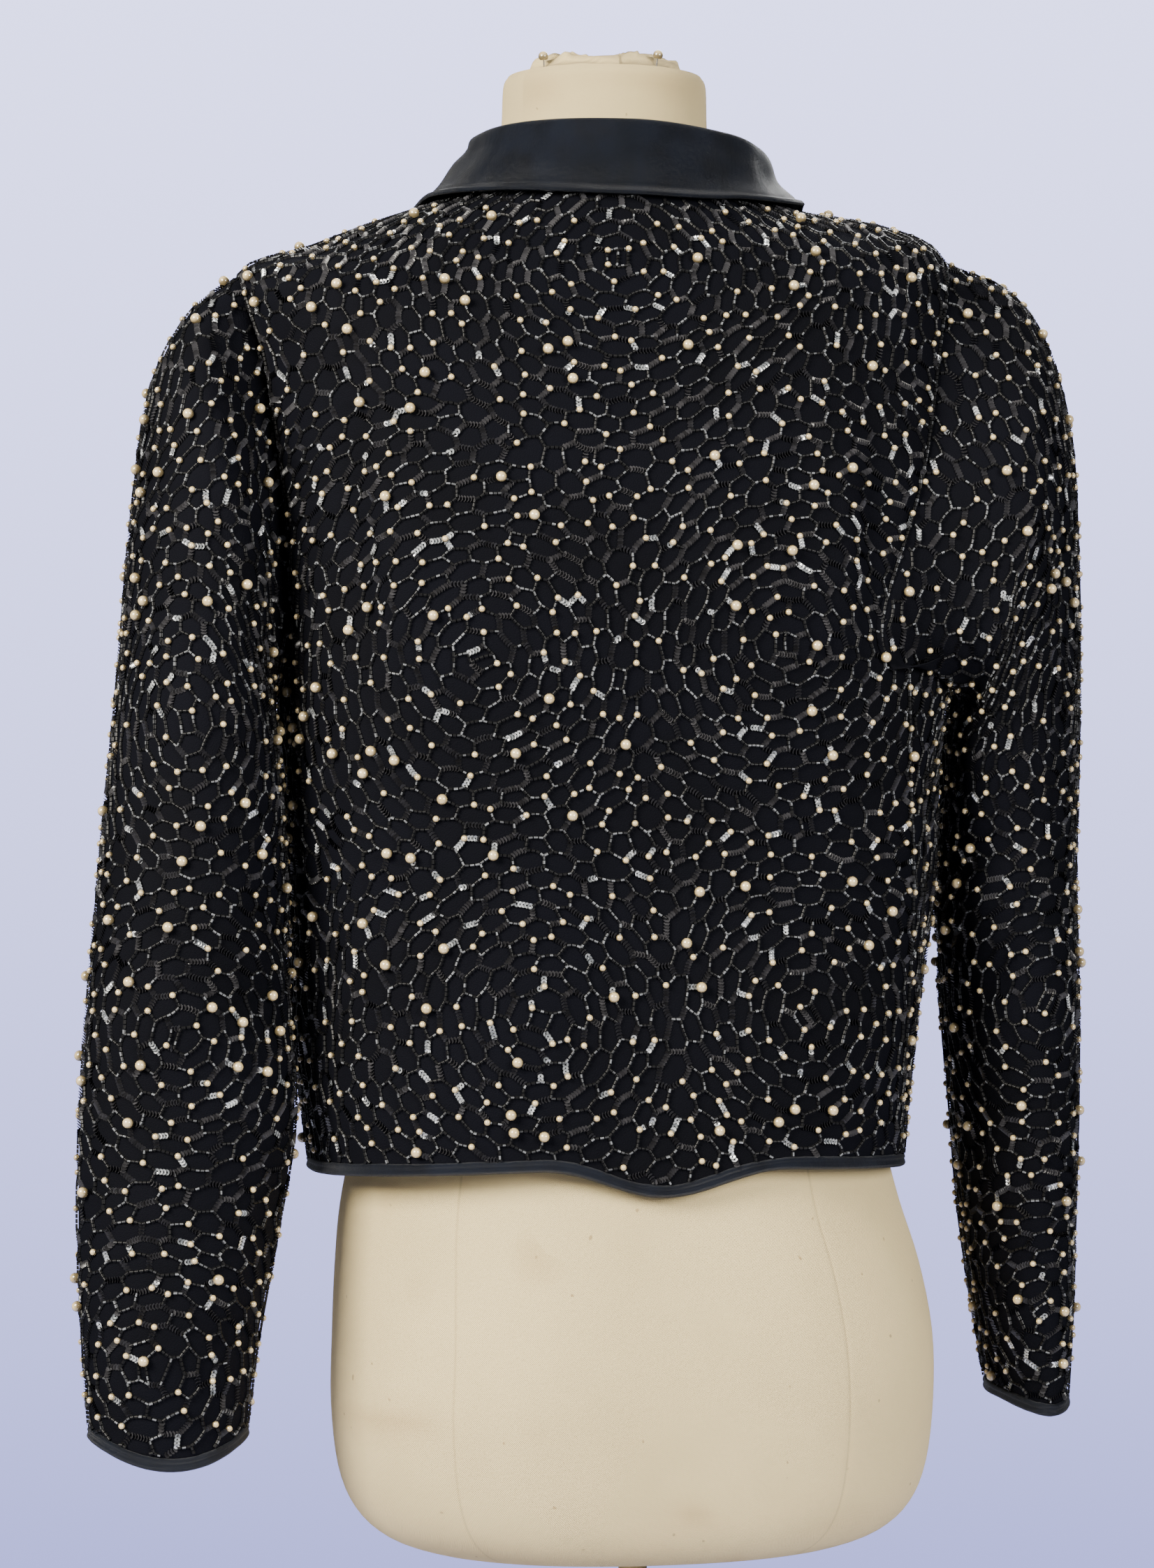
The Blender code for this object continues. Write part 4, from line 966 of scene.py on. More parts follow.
def add_numbers(piece, name, domain, values):
    """Write numbers for a material to read, one for each face or point."""
    layer = piece.data.attributes.new(name, "FLOAT", domain)
    layer.data.foreach_set("value", np.asarray(values, np.float32))


def border_lines(panel, edges, inset):
    """Lines just inside a panel's long edges, as points and normals from the hem up."""
    lines = []
    for edge in edges:
        beside = edge + 1 if edge == 0 else edge - 1
        points = panel.points[1:, edge]
        inward = unit(panel.points[1:, beside] - points)
        lines.append((points + inset * inward, panel.normals[1:, edge]))
    return lines


def strung_line(points, step):
    """Even pieces of a line of points: their starts, ends and the nearest point's number."""
    length = np.pad(np.linalg.norm(np.diff(points, axis=0), axis=1).cumsum(), (1, 0))
    count = max(int(length[-1] / step), 1)
    places = np.linspace(0.0, length[-1], count + 1)
    even = np.stack([np.interp(places, length, points[:, k]) for k in range(3)], 1)
    nearest = np.searchsorted(length, places[:-1]).clip(0, len(points) - 1)
    return even[:-1], even[1:], nearest


BOW = 0.035
EDGE_INSET = 0.0010
SEAM_PEARL_EVERY = 9
SEAM_PEARL_TOP = 0.70
PEARL_GAP = 0.0080
PEARL_HEM_GAP = 0.0042
TUCKED_UNDER = 0.008
PALE_RUN = 4
PEARL_SINK = 0.0010
SMALL_PEARL_STEPS, LARGE_PEARL_STEPS, PIN_HEAD_STEPS = (10, 4), (12, 5), (16, 8)
LEAST_SEQUINS = 2.5


def spaced_out(points, chosen, gap, random):
    """Drop chosen points that lie too near to one that is kept."""
    kept = np.zeros(len(points), bool)
    for number in random.permutation(np.flatnonzero(chosen)):
        near = points[kept]
        kept[number] = len(near) == 0 or ((near - points[number]) ** 2).sum(1).min() > gap ** 2
    return kept


def make_net(name, panel, whorls, net, edges, hidden=None):
    """Bugles, sequins and pearls of one panel; hidden tells which points lie under the collar."""
    random = np.random.default_rng(net.seed + sum(name.encode()))
    pattern = Pattern(panel)
    sites = cell_sites(pattern, whorls, net, random)
    knots, strands, whole = net_strands(pattern, sites, whorls, net)
    points, normals = pattern.lift(knots)
    if hidden is not None:
        shown = ~hidden(points, -TUCKED_UNDER)[strands].all(1)
        strands = strands[shown]
    start, end = points[strands[:, 0]], points[strands[:, 1]]
    normal = unit(normals[strands].sum(1))
    length = np.linalg.norm(end - start, axis=1)
    bow = BOW * length * random.standard_normal(len(strands))
    with_sequins = random.uniform(size=len(strands)) < net.sequin_share
    with_sequins &= length > LEAST_SEQUINS * net.sequin_step
    depth = net.net_depth

    plain = ~with_sequins
    bugles = [chain(start[plain], end[plain], normal[plain], bow[plain], net.bugle_length,
                    random)[3]]
    pearls, pearl_normals = [], []
    for line, line_normals in border_lines(panel, edges, EDGE_INSET):
        first, last, nearest = strung_line(line, net.bugle_length)
        facing = line_normals[nearest]
        if hidden is not None:
            seen = ~hidden(first, 0.0)
            first, last, facing = first[seen], last[seen], facing[seen]
        bugles.append(chain(first, last, facing, np.zeros(len(first)), net.bugle_length, random)[3])
        low = np.flatnonzero(first[:, 2] < SEAM_PEARL_TOP)[SEAM_PEARL_EVERY // 2::SEAM_PEARL_EVERY]
        pearls.append(first[low])
        pearl_normals.append(facing[low])
    beads = Beads(*(np.concatenate(column) for column in zip(*bugles)))
    vertices, faces = bugle_arrays(beads, net.bugle_radius, depth)
    bugle_piece = add_piece(f"{name}_bugles", vertices, faces, bpy.data.materials["bugle_glass"])
    # Painted highlight: the grey of each face, brightest on the crest.
    add_numbers(bugle_piece, "tone", "FACE", (beads.tone[:, None] * BUGLE_FACE_HIGHLIGHTS).ravel())

    beadwork = [bugle_piece]
    pearl_knots = random.uniform(size=len(knots))
    band = panel.flat[1][panel.flat[1][:, 0].argsort()]
    clear = whole & (knots[:, 1] > np.interp(knots[:, 0], band[:, 0], band[:, 1]) + PEARL_HEM_GAP)
    pearled = spaced_out(points, clear & (pearl_knots < net.large_pearl_share + net.pearl_share),
                         PEARL_GAP, random)
    large = pearled & (pearl_knots < net.large_pearl_share)
    small = pearled & ~large
    strand, order, count, discs = chain(
        start[with_sequins], end[with_sequins], normal[with_sequins], bow[with_sequins],
        net.sequin_step, random)
    touched = pearled[strands[with_sequins]]
    pale_chain = random.uniform(size=len(touched)) < net.glint_share * (1 + 2 * touched.any(1))
    from_end = touched[:, 1]
    place = np.where(from_end[strand], count - 1 - order, order)
    run = random.integers(2, PALE_RUN + 2, len(touched))
    pale = pale_chain[strand] & (place < run[strand])
    for kind, chosen, arrays, material in (
            ("sequins", ~pale, dark_sequin_arrays, "sequin_film"),
            ("pale_sequins", pale, pale_sequin_arrays, "pale_film")):
        group = Beads(*(column[chosen] for column in discs))
        vertices, faces, shares, each = arrays(group, net.sequin_radius, depth)
        piece = add_piece(f"{name}_{kind}", vertices, faces, bpy.data.materials[material])
        add_numbers(piece, "tone", "FACE", np.repeat(group.tone, each))
        add_numbers(piece, "rim", "POINT", shares)
        beadwork.append(piece)

    made = []
    for chosen, radius, (segments, rings), extra in (
            (small, net.pearl_radius, SMALL_PEARL_STEPS, True),
            (large, net.large_pearl_radius, LARGE_PEARL_STEPS, False)):
        middles, facing = points[chosen], normals[chosen]
        if extra:
            middles = np.concatenate([middles, *pearls])
            facing = np.concatenate([facing, *pearl_normals])
        if hidden is not None:
            seen = ~hidden(middles, radius)
            middles, facing = middles[seen], facing[seen]
        lifted = middles + facing * (radius - depth - PEARL_SINK)
        copies, template, crown = pearl_arrays(lifted, facing, radius, segments, rings)
        made.append((*repeated(copies, template), np.tile(crown, len(lifted))))
    offset = len(made[0][0])
    vertices = np.concatenate([made[0][0], made[1][0]])
    faces = np.concatenate([made[0][1], made[1][1] + offset])
    crown = np.concatenate([heights for _, _, heights in made])
    beadwork.append(add_pearls(f"{name}_pearls", vertices, faces, crown))
    return beadwork


def add_pearls(name, vertices, faces, crown):
    """Make the pearls' mesh, whose crowns are triangles written as folded four-sided faces."""
    triangle = faces[:, 2] == faces[:, 3]
    quads = faces[~triangle]
    corners = np.concatenate([faces[triangle][:, :3], quads[:, [0, 1, 2]], quads[:, [0, 2, 3]]])
    piece = add_piece(name, vertices, corners, bpy.data.materials["pearl_coat"])
    add_numbers(piece, "crown", "POINT", crown)
    return piece


# Materials

def new_tree(name):
    """Node tree and Principled shader of a new material."""
    material = bpy.data.materials.new(name)
    material.use_nodes = True
    return material.node_tree, material.node_tree.nodes["Principled BSDF"]


def add_node(tree, kind, **values):
    """Add a node and set its properties and unlinked inputs by name."""
    node = tree.nodes.new(kind)
    for key, value in values.items():
        if hasattr(node, key):
            setattr(node, key, value)
        else:
            node.inputs[key.replace("_", " ")].default_value = value
    return node


def add_group(tree, name, **values):
    """Place a shared effect in a tree with its own values."""
    return add_node(tree, "ShaderNodeGroup", node_tree=bpy.data.node_groups[name], **values)


def new_group(name, inputs, outputs):
    """A node group with named numbers as inputs, their defaults, and numbers as outputs."""
    group = bpy.data.node_groups.new(name, "ShaderNodeTree")
    for label, default in inputs:
        socket = group.interface.new_socket(label, in_out="INPUT", socket_type="NodeSocketFloat")
        socket.default_value = default
    for label in outputs:
        group.interface.new_socket(label, in_out="OUTPUT", socket_type="NodeSocketFloat")
    given, result = group.nodes.new("NodeGroupInput"), group.nodes.new("NodeGroupOutput")
    return group, given.outputs, result.inputs


def fill(tree, socket, value):
    """Link an output to a socket, or set the socket to a fixed value."""
    if isinstance(value, bpy.types.NodeSocket):
        tree.links.new(value, socket)
    else:
        socket.default_value = value


def mapped(tree, value, low, high, to_low=0.0, to_high=1.0):
    """Output of a clamped map of another output from one range of values to another."""
    node = add_node(tree, "ShaderNodeMapRange", From_Min=low, From_Max=high, To_Min=to_low,
                    To_Max=to_high)
    tree.links.new(value, node.inputs["Value"])
    return node.outputs["Result"]


def calculated(tree, operation, *values):
    """Output of one operation on outputs and fixed numbers."""
    node = add_node(tree, "ShaderNodeMath", operation=operation)
    for socket, value in zip(node.inputs, values):
        fill(tree, socket, value)
    return node.outputs[0]


def mix_colours(tree, factor, first, second):
    """Mix two colours, each a fixed value or an output, by a factor's output."""
    mix = add_node(tree, "ShaderNodeMixRGB", blend_type="MIX")
    tree.links.new(factor, mix.inputs["Fac"])
    fill(tree, mix.inputs["Color1"], first)
    fill(tree, mix.inputs["Color2"], second)
    return mix.outputs["Color"]


def scaled_colour(colour, factor):
    """A colour made darker or lighter by a factor."""
    return (colour[0] * factor, colour[1] * factor, colour[2] * factor, 1.0)


def add_bumps(tree, shader, *layers):
    """Raise the surface by layers: a height's output, a distance in metres and a strength."""
    normal = None
    for height, distance, strength in layers:
        bump = add_node(tree, "ShaderNodeBump", Strength=strength, Distance=distance)
        tree.links.new(height, bump.inputs["Height"])
        if normal is not None:
            tree.links.new(normal, bump.inputs["Normal"])
        normal = bump.outputs["Normal"]
    tree.links.new(normal, shader.inputs["Normal"])


def number_of(tree, name):
    """Output of a number that the points or faces carry."""
    return add_node(tree, "ShaderNodeAttribute", attribute_name=name).outputs["Fac"]


def make_grain_group():
    """Fine uneven grain: a height, and a mask of its coarser clouds."""
    group, given, result = new_group(
        "cloth_grain", (("Fine Scale", 1500.0), ("Cloud Scale", 18.0)), ("Height", "Clouds"))
    place = add_node(group, "ShaderNodeTexCoord").outputs["Object"]
    noise = []
    for label, detail in (("Fine Scale", 2.0), ("Cloud Scale", 3.0)):
        node = add_node(group, "ShaderNodeTexNoise", Detail=detail)
        group.links.new(place, node.inputs["Vector"])
        group.links.new(given[label], node.inputs["Scale"])
        noise.append(node.outputs["Fac"])
    group.links.new(noise[0], result["Height"])
    group.links.new(mapped(group, noise[1], 0.35, 0.65), result["Clouds"])


def make_weave_group():
    """Plain weave in the cloth's flat directions: a height and a mask of the gaps."""
    group, given, result = new_group("plain_weave", (("Threads", 1600.0),), ("Height", "Gaps"))
    flat = add_node(group, "ShaderNodeUVMap", uv_map="flat")
    parts = add_node(group, "ShaderNodeSeparateXYZ")
    group.links.new(flat.outputs["UV"], parts.inputs["Vector"])
    waves = []
    for axis in "XY":
        scaled = calculated(group, "MULTIPLY", parts.outputs[axis], given["Threads"])
        waves.append(calculated(group, "SINE", calculated(group, "MULTIPLY", scaled, 2 * math.pi)))
    height = mapped(group, calculated(group, "MULTIPLY", *waves), -1.0, 1.0)
    group.links.new(height, result["Height"])
    group.links.new(mapped(group, height, 0.12, 0.0), result["Gaps"])


def make_spots_group():
    """Scattered spots of uneven size: a mask."""
    group, given, result = new_group(
        "scattered_spots",
        (("Scale", 40.0), ("Size", 0.12), ("Softness", 0.05), ("Share", 0.3)), ("Mask",))
    link = group.links.new
    place = add_node(group, "ShaderNodeTexCoord").outputs["Object"]
    blur = add_node(group, "ShaderNodeTexNoise", Scale=60.0, Detail=3.0)
    link(place, blur.inputs["Vector"])
    shift = add_node(group, "ShaderNodeMixRGB", blend_type="LINEAR_LIGHT", Fac=0.006)
    link(place, shift.inputs["Color1"])
    link(blur.outputs["Color"], shift.inputs["Color2"])
    cells = add_node(group, "ShaderNodeTexVoronoi")
    link(shift.outputs["Color"], cells.inputs["Vector"])
    link(given["Scale"], cells.inputs["Scale"])
    edge = add_node(group, "ShaderNodeMapRange", To_Min=1.0, To_Max=0.0)
    link(cells.outputs["Distance"], edge.inputs["Value"])
    link(given["Size"], edge.inputs["From Min"])
    link(calculated(group, "ADD", given["Size"], given["Softness"]), edge.inputs["From Max"])
    tone = add_node(group, "ShaderNodeSeparateColor")
    link(cells.outputs["Color"], tone.inputs["Color"])
    pick = calculated(group, "LESS_THAN", tone.outputs["Red"], given["Share"])
    link(calculated(group, "MULTIPLY", edge.outputs["Result"], pick), result["Mask"])


def make_lining_material(colours):
    """Navy-black crepe with a dull, pebbled face."""
    tree, shader = new_tree("lining_crepe")
    grain = add_group(tree, "cloth_grain", Fine_Scale=1400.0, Cloud_Scale=14.0)
    colour = mix_colours(tree, grain.outputs["Clouds"], scaled_colour(colours.lining, 0.8),
                         scaled_colour(colours.lining, 1.25))
    tree.links.new(colour, shader.inputs["Base Color"])
    shader.inputs["Roughness"].default_value = 0.82
    shader.inputs["Specular IOR Level"].default_value = 0.09
    shader.inputs["Sheen Weight"].default_value = 0.008
    shader.inputs["Sheen Tint"].default_value = (0.55, 0.60, 0.85, 1.0)
    add_bumps(tree, shader, (grain.outputs["Height"], 0.0004, 1.0))


def make_bugle_material(colours):
    """Dark glass with a painted highlight: some beads are painted grey to stand in for glints, most
    of all on their crests.
    """
    tree, shader = new_tree("bugle_glass")
    tone = number_of(tree, "tone")
    # Painted highlight: beads of high tone are painted grey as glints.
    painted_glint = mapped(tree, tone, 0.60, 0.95)
    colour = mix_colours(tree, painted_glint, colours.bugle, (0.17, 0.178, 0.19, 1.0))
    tree.links.new(colour, shader.inputs["Base Color"])
    tree.links.new(mapped(tree, tone, 0.0, 1.0, 0.38, 0.24), shader.inputs["Roughness"])
    shader.inputs["Specular IOR Level"].default_value = 0.16


def make_sequin_materials(colours):
    """Black film, each sequin with its own shade, and discs whose pale colour is a painted
    highlight for glints on the film, with a dark rim of painted shade.
    """
    tree, shader = new_tree("sequin_film")
    tone = number_of(tree, "tone")
    colour = mix_colours(tree, tone, colours.sequin, (0.050, 0.049, 0.054, 1.0))
    tree.links.new(colour, shader.inputs["Base Color"])
    tree.links.new(mapped(tree, tone, 0.0, 1.0, 0.20, 0.42), shader.inputs["Roughness"])
    shader.inputs["Specular IOR Level"].default_value = 0.35

    tree, shader = new_tree("pale_film")
    # Painted shade darkens each disc's outer rim where it meets the next; the pale rest is a
    # painted highlight.
    tone, edge = number_of(tree, "tone"), mapped(tree, number_of(tree, "rim"), 0.88, 0.80)
    colour = mix_colours(tree, tone, scaled_colour(colours.sequin_glint_colour, 0.3),
                         (0.94, 0.96, 0.98, 1.0))
    colour = mix_colours(tree, edge, scaled_colour(colours.sequin_glint_colour, 0.06), colour)
    tree.links.new(colour, shader.inputs["Base Color"])
    shader.inputs["Metallic"].default_value = 0.35
    shader.inputs["Roughness"].default_value = 0.22
    shader.inputs["Coat Weight"].default_value = 0.8


def make_pearl_material(colours):
    """Cream coating, darkened towards the thread that holds each pearl by painted shade and a
    painted reflection of the dark net.
    """
    tree, shader = new_tree("pearl_coat")
    grain = add_group(tree, "cloth_grain", Fine_Scale=900.0, Cloud_Scale=160.0)
    colour = mix_colours(tree, grain.outputs["Clouds"], colours.pearl, (0.78, 0.64, 0.38, 1.0))
    # Painted shade and painted reflection: the colour darkens from each pearl's crown down to the
    # net it stands on.
    shown = mapped(tree, number_of(tree, "crown"), 0.10, 0.80)
    colour = mix_colours(tree, shown, scaled_colour(colours.pearl, 0.26), colour)
    tree.links.new(colour, shader.inputs["Base Color"])
    shader.inputs["Roughness"].default_value = 0.24
    shader.inputs["Coat Weight"].default_value = 1.0
    shader.inputs["Coat IOR"].default_value = 1.75
    shader.inputs["Coat Roughness"].default_value = 0.09
    shader.inputs["Coat Tint"].default_value = (1.0, 0.97, 0.93, 1.0)


def make_satin_material(colours):
    """Black satin: floats of thread that catch the light, and soft rubbed places."""
    tree, shader = new_tree("black_satin")
    weave = add_group(tree, "plain_weave", Threads=2600.0)
    grain = add_group(tree, "cloth_grain", Fine_Scale=420.0, Cloud_Scale=55.0)
    colour = mix_colours(tree, grain.outputs["Clouds"], scaled_colour(colours.satin, 0.8),
                         scaled_colour(colours.satin, 1.7))
    tree.links.new(colour, shader.inputs["Base Color"])
    rough = mapped(tree, grain.outputs["Clouds"], 0.0, 1.0, 0.30, 0.44)
    tree.links.new(rough, shader.inputs["Roughness"])
    shader.inputs["Sheen Weight"].default_value = 0.06
    shader.inputs["Sheen Roughness"].default_value = 0.35
    shader.inputs["Specular IOR Level"].default_value = 0.26
    shader.inputs["Anisotropic"].default_value = 0.5
    add_bumps(tree, shader, (grain.outputs["Height"], 0.0006, 0.6),
              (weave.outputs["Height"], 0.00012, 1.0))


def make_canvas_material(colours):
    """Cream canvas with painted shade in creases, darker seam lines, grubby clouds, old stains and
    specks of seed.
    """
    tree, shader = new_tree("cream_canvas")
    weave = add_group(tree, "plain_weave", Threads=900.0)
    grain = add_group(tree, "cloth_grain", Fine_Scale=500.0, Cloud_Scale=9.0)
    specks = add_group(tree, "scattered_spots", Scale=110.0, Size=0.07, Softness=0.06, Share=0.16)
    stains = add_group(tree, "scattered_spots", Scale=16.0, Size=0.04, Softness=0.24, Share=0.28)
    colour = mix_colours(tree, grain.outputs["Clouds"], scaled_colour(colours.canvas, 0.89),
                         scaled_colour(colours.canvas, 1.03))
    colour = mix_colours(tree, weave.outputs["Gaps"], colour, scaled_colour(colours.canvas, 0.62))
    # Painted shade in the neck cap's creases, and darker lines along the form's seams, both read
    # from the seam numbers and both tinted with half the stain colour.
    seam_line_and_crease_shade = mapped(tree, number_of(tree, "seam"), 0.2, 3.0, 0.0, 1.05)
    colour = mix_colours(tree, seam_line_and_crease_shade, colour, scaled_colour(colours.stain, 0.5))
    for mask, strength, dark in ((stains.outputs["Mask"], 0.40, 1.0),
                                 (number_of(tree, "stain"), 0.60, 1.0),
                                 (specks.outputs["Mask"], 0.80, 0.8)):
        faint = calculated(tree, "MULTIPLY", mask, strength)
        colour = mix_colours(tree, faint, colour, scaled_colour(colours.stain, dark))
    tree.links.new(colour, shader.inputs["Base Color"])
    shader.inputs["Roughness"].default_value = 0.88
    shader.inputs["Specular IOR Level"].default_value = 0.25
    shader.inputs["Sheen Weight"].default_value = 0.10
    add_bumps(tree, shader, (grain.outputs["Height"], 0.0005, 0.5),
              (weave.outputs["Height"], 0.0003, 1.0))


def make_metal_materials(colours):
    """Worn brass, dark enamel and the steel of the pins."""
    for name, colour, dull, metallic, low, high in (
            ("worn_brass", colours.brass, 0.55, 1.0, 0.24, 0.46),
            ("base_enamel", colours.enamel, 0.60, 0.0, 0.34, 0.55),
            ("pin_steel", (0.62, 0.62, 0.64, 1.0), 0.80, 1.0, 0.20, 0.32)):
        tree, shader = new_tree(name)
        grain = add_group(tree, "cloth_grain", Fine_Scale=700.0, Cloud_Scale=45.0)
        spots = add_group(tree, "scattered_spots", Scale=90.0, Size=0.06, Softness=0.10, Share=0.25)
        tint = mix_colours(tree, grain.outputs["Clouds"], scaled_colour(colour, dull), colour)
        tint = mix_colours(tree, spots.outputs["Mask"], tint, scaled_colour(colour, 0.5 * dull))
        tree.links.new(tint, shader.inputs["Base Color"])
        shader.inputs["Metallic"].default_value = metallic
        rough = mapped(tree, grain.outputs["Clouds"], 0.0, 1.0, low, high)
        tree.links.new(rough, shader.inputs["Roughness"])
        add_bumps(tree, shader, (grain.outputs["Height"], 0.00004, 1.0))


# Pieces

def add_flat_map(piece, flat):
    """Write the cloth's flat directions as a map in metres, for the weave."""
    layer = piece.data.uv_layers.new(name="flat")
    number = np.zeros(len(piece.data.loops), np.int32)
    piece.data.loops.foreach_get("vertex_index", number)
    layer.data.foreach_set("uv", flat[number].astype(np.float32).ravel())


def add_shell(name, grid, inner, flat, material, closed=False):
    """Make a thin closed piece of cloth from its outer and inner grids and its flat cut."""
    vertices, faces = shell_arrays(grid, inner, closed)
    piece = add_piece(name, vertices, faces, bpy.data.materials[material])
    flat = flat.reshape(-1, 2)
    add_flat_map(piece, np.concatenate([flat, flat]))
    return piece


def collar_sizes(degrees):
    """Collar sizes at angles, eased between the stations of its table."""
    index = np.clip(np.searchsorted(COLLAR[:, 0], degrees) - 1, 0, len(COLLAR) - 2)
    share = (degrees - COLLAR[index, 0]) / (COLLAR[index + 1, 0] - COLLAR[index, 0])
    share = ease(share)[..., None]
    return COLLAR[index] + (COLLAR[index + 1] - COLLAR[index]) * share


def collar_surface(degrees, place):
    """Points across the collar, from the neckline up, over the fold and down to its edge."""
    degrees, place = np.broadcast_arrays(np.asarray(degrees, float), np.asarray(place, float))
    shape, degrees, place = degrees.shape, degrees.ravel(), place.ravel()
    sizes = collar_sizes(degrees)
    rise, out = sizes[:, 1:2], sizes[:, 2:3]
    left = np.exp(-((degrees - COLLAR_LEFT_ANGLE) / COLLAR_LEFT_WIDTH) ** 2)
    edge = sizes[:, 3] - COLLAR_EDGE_DROP - COLLAR_LEFT_DROP * left
    up = np.array((0.0, 0.0, 1.0))
    angle = np.radians(degrees)
    away = np.stack([np.sin(angle), np.cos(angle), np.zeros(len(angle))], 1)
    base = body_points(degrees, np.full(len(degrees), NECK_ROW)) + COLLAR_NECK_GAP * up
    fold = base + out * away + rise * up
    curve = [base, base + COLLAR_STAND_SHARE * rise * up,
             fold - COLLAR_FOLD_RADIUS * (away + COLLAR_CREST_DROP * up), fold]

    def over_body(row):
        normal = outward(body_points, degrees, row, BODY_STEP)
        return body_points(degrees, row) + (COLLAR_LIFT + COLLAR_WALL) * normal

    drop = fold - over_body(np.full(len(degrees), NECK_ROW))
    for share in COLLAR_FALL_SHARES:
        row = NECK_ROW + (edge - NECK_ROW) * share
        curve.append(over_body(row) + drop * (1 - share) ** COLLAR_FALL_POWER)
    curve = np.stack(curve)
    every = np.arange(len(degrees))
    points = spline_read(lambda index: curve[index, every], len(curve) - 1, place)
    return points.reshape(*shape, 3)


def under_collar(points, margin):
    """Tell which points of the body lie under the collar, or within a margin of its edge."""
    degrees = np.degrees(np.arctan2(points[:, 0] - JACKET[-1, 6], points[:, 1] - JACKET[-1, 7]))
    edge = collar_surface(degrees, np.full(len(degrees), COLLAR_EDGE_PLACE))
    centre = JACKET[-1, 6:8]
    far = np.linalg.norm(points[:, :2] - centre, axis=1)
    reach = np.linalg.norm(edge[:, :2] - centre, axis=1) + margin
    return (far < reach) & (points[:, 2] > COLLAR_LOWEST)


def flat_of(grid):
    """Flat places of a grid by its lengths along rows and columns."""
    across = np.pad(np.linalg.norm(np.diff(grid, axis=1), axis=2).cumsum(1), ((0, 0), (1, 0)))
    down = np.pad(np.linalg.norm(np.diff(grid, axis=0), axis=2).cumsum(0), ((1, 0), (0, 0)))
    return np.stack([across, down], -1)


class JACKET_OT_materials(bpy.types.Operator):
    """Make the shared effects and the materials."""

    bl_idname = "jacket.materials"
    bl_label = "Materials"

    def execute(self, context):
        """Build the node groups, then each finish."""
        colours = context.scene.jacket_colours
        make_grain_group()
        make_weave_group()
        make_spots_group()
        make_lining_material(colours)
        make_bugle_material(colours)
        make_sequin_materials(colours)
        make_pearl_material(colours)
        make_satin_material(colours)
        make_canvas_material(colours)
        make_metal_materials(colours)
        return {"FINISHED"}


def jacket_panels():
    """Every panel with its name, whorls, the edges that carry a chain, and what hides its top."""
    yield "back", body_panel("back"), BACK_WHORLS, (0, -1), under_collar
    for side in SIDES:
        yield f"front_{side}", body_panel("front", side), FRONT_WHORLS, (-1,), under_collar
        yield f"sleeve_{side}", sleeve_panel(side), SLEEVE_WHORLS[side], (0,), None


def whorl_places(panel, whorls, tube):
    """Flat places of whorls: for a tube by the flat distance round it, else by X, and by height."""
    flat, points = panel.flat.reshape(-1, 2), panel.points.reshape(-1, 3)
    sideways = flat[:, 0] if tube else points[:, 0]
    places = []
    for across, height in whorls:
        miss = abs(sideways - across) + abs(points[:, 2] - height)
        places.append(flat[miss.argmin()])
    return np.array(places)


SEAM_ALLOWANCE = 0.006
ALLOWANCE_TURN = 0.35


class JACKET_OT_panels(bpy.types.Operator):
    """Make each panel's lining and beaded net."""

    bl_idname = "jacket.panels"
    bl_label = "Lining and beaded net"

    def execute(self, context):
        """Build the back, fronts and sleeves."""
        net, cloth = context.scene.jacket_net, context.scene.jacket_cloth
        for name, panel, whorls, edges, hidden in jacket_panels():
            places = whorl_places(panel, whorls, hidden is None)
            beadwork = make_net(name, panel, places, net, edges, hidden)
            outer = panel.points - cloth.lining_depth * panel.normals
            inner = outer - cloth.lining_wall * panel.normals
            tube = name.startswith("sleeve")
            if tube:
                inward = unit(outer[-1] - outer[-2]) - ALLOWANCE_TURN * panel.normals[-1]
                outer, inner, flat = (
                    np.concatenate([grid, [grid[-1] + SEAM_ALLOWANCE * step]])[:, :-1]
                    for grid, step in ((outer, inward), (inner, inward),
                                       (panel.flat, np.array((0.0, 1.0)))))
            else:
                flat = panel.flat
            lining = add_shell(f"{name}_lining", outer, inner, flat, "lining_crepe",
                               tube)
            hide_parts(name)
            declare_cloth(panel.points, panel.flat)
        return {"FINISHED"}


COLLAR_STEPS = 34
COLLAR_COLUMNS = 128
COLLAR_EDGE_SHAPE = ((6.8, 0.18, 0.0009), (6.35, 0.12, -0.00045))
COLLAR_END_MARGIN = 0.5
# Swells and dents of the collar: angle, place across, half widths in both, and height
COLLAR_BUMPS = (
    (-79.0, 3.8, 10.0, 0.8, 0.0030), (-88.0, 3.2, 3.5, 0.4, 0.0012),
    (-68.0, 4.9, 6.0, 0.9, -0.0012), (-80.0, 5.9, 9.0, 0.8, 0.0012),
    (101.0, 3.70, 10.0, 0.50, -0.0066), (98.0, 3.0, 8.0, 0.30, 0.0012),
    (88.0, 4.6, 7.0, 0.7, 0.0016), (74.0, 4.2, 6.0, 0.9, -0.0010),
    (62.0, 4.9, 9.0, 0.8, 0.0009), (18.0, 4.8, 20.0, 0.9, -0.0006),
    (-6.0, 5.8, 16.0, 0.7, 0.0005), (-34.0, 4.6, 13.0, 0.9, 0.0009),
    (-50.0, 5.4, 8.0, 0.7, -0.0008), (38.0, 5.9, 10.0, 0.6, 0.0006),
    (130.0, 5.0, 14.0, 0.8, -0.0007), (-128.0, 5.2, 14.0, 0.8, -0.0006),
    (152.0, 4.6, 10.0, 0.8, 0.0006), (-150.0, 4.8, 10.0, 0.8, 0.0006))
COLLAR_EDGE_DROP = 0.070
COLLAR_LEFT_DROP, COLLAR_LEFT_ANGLE, COLLAR_LEFT_WIDTH = 0.025, 98.0, 26.0


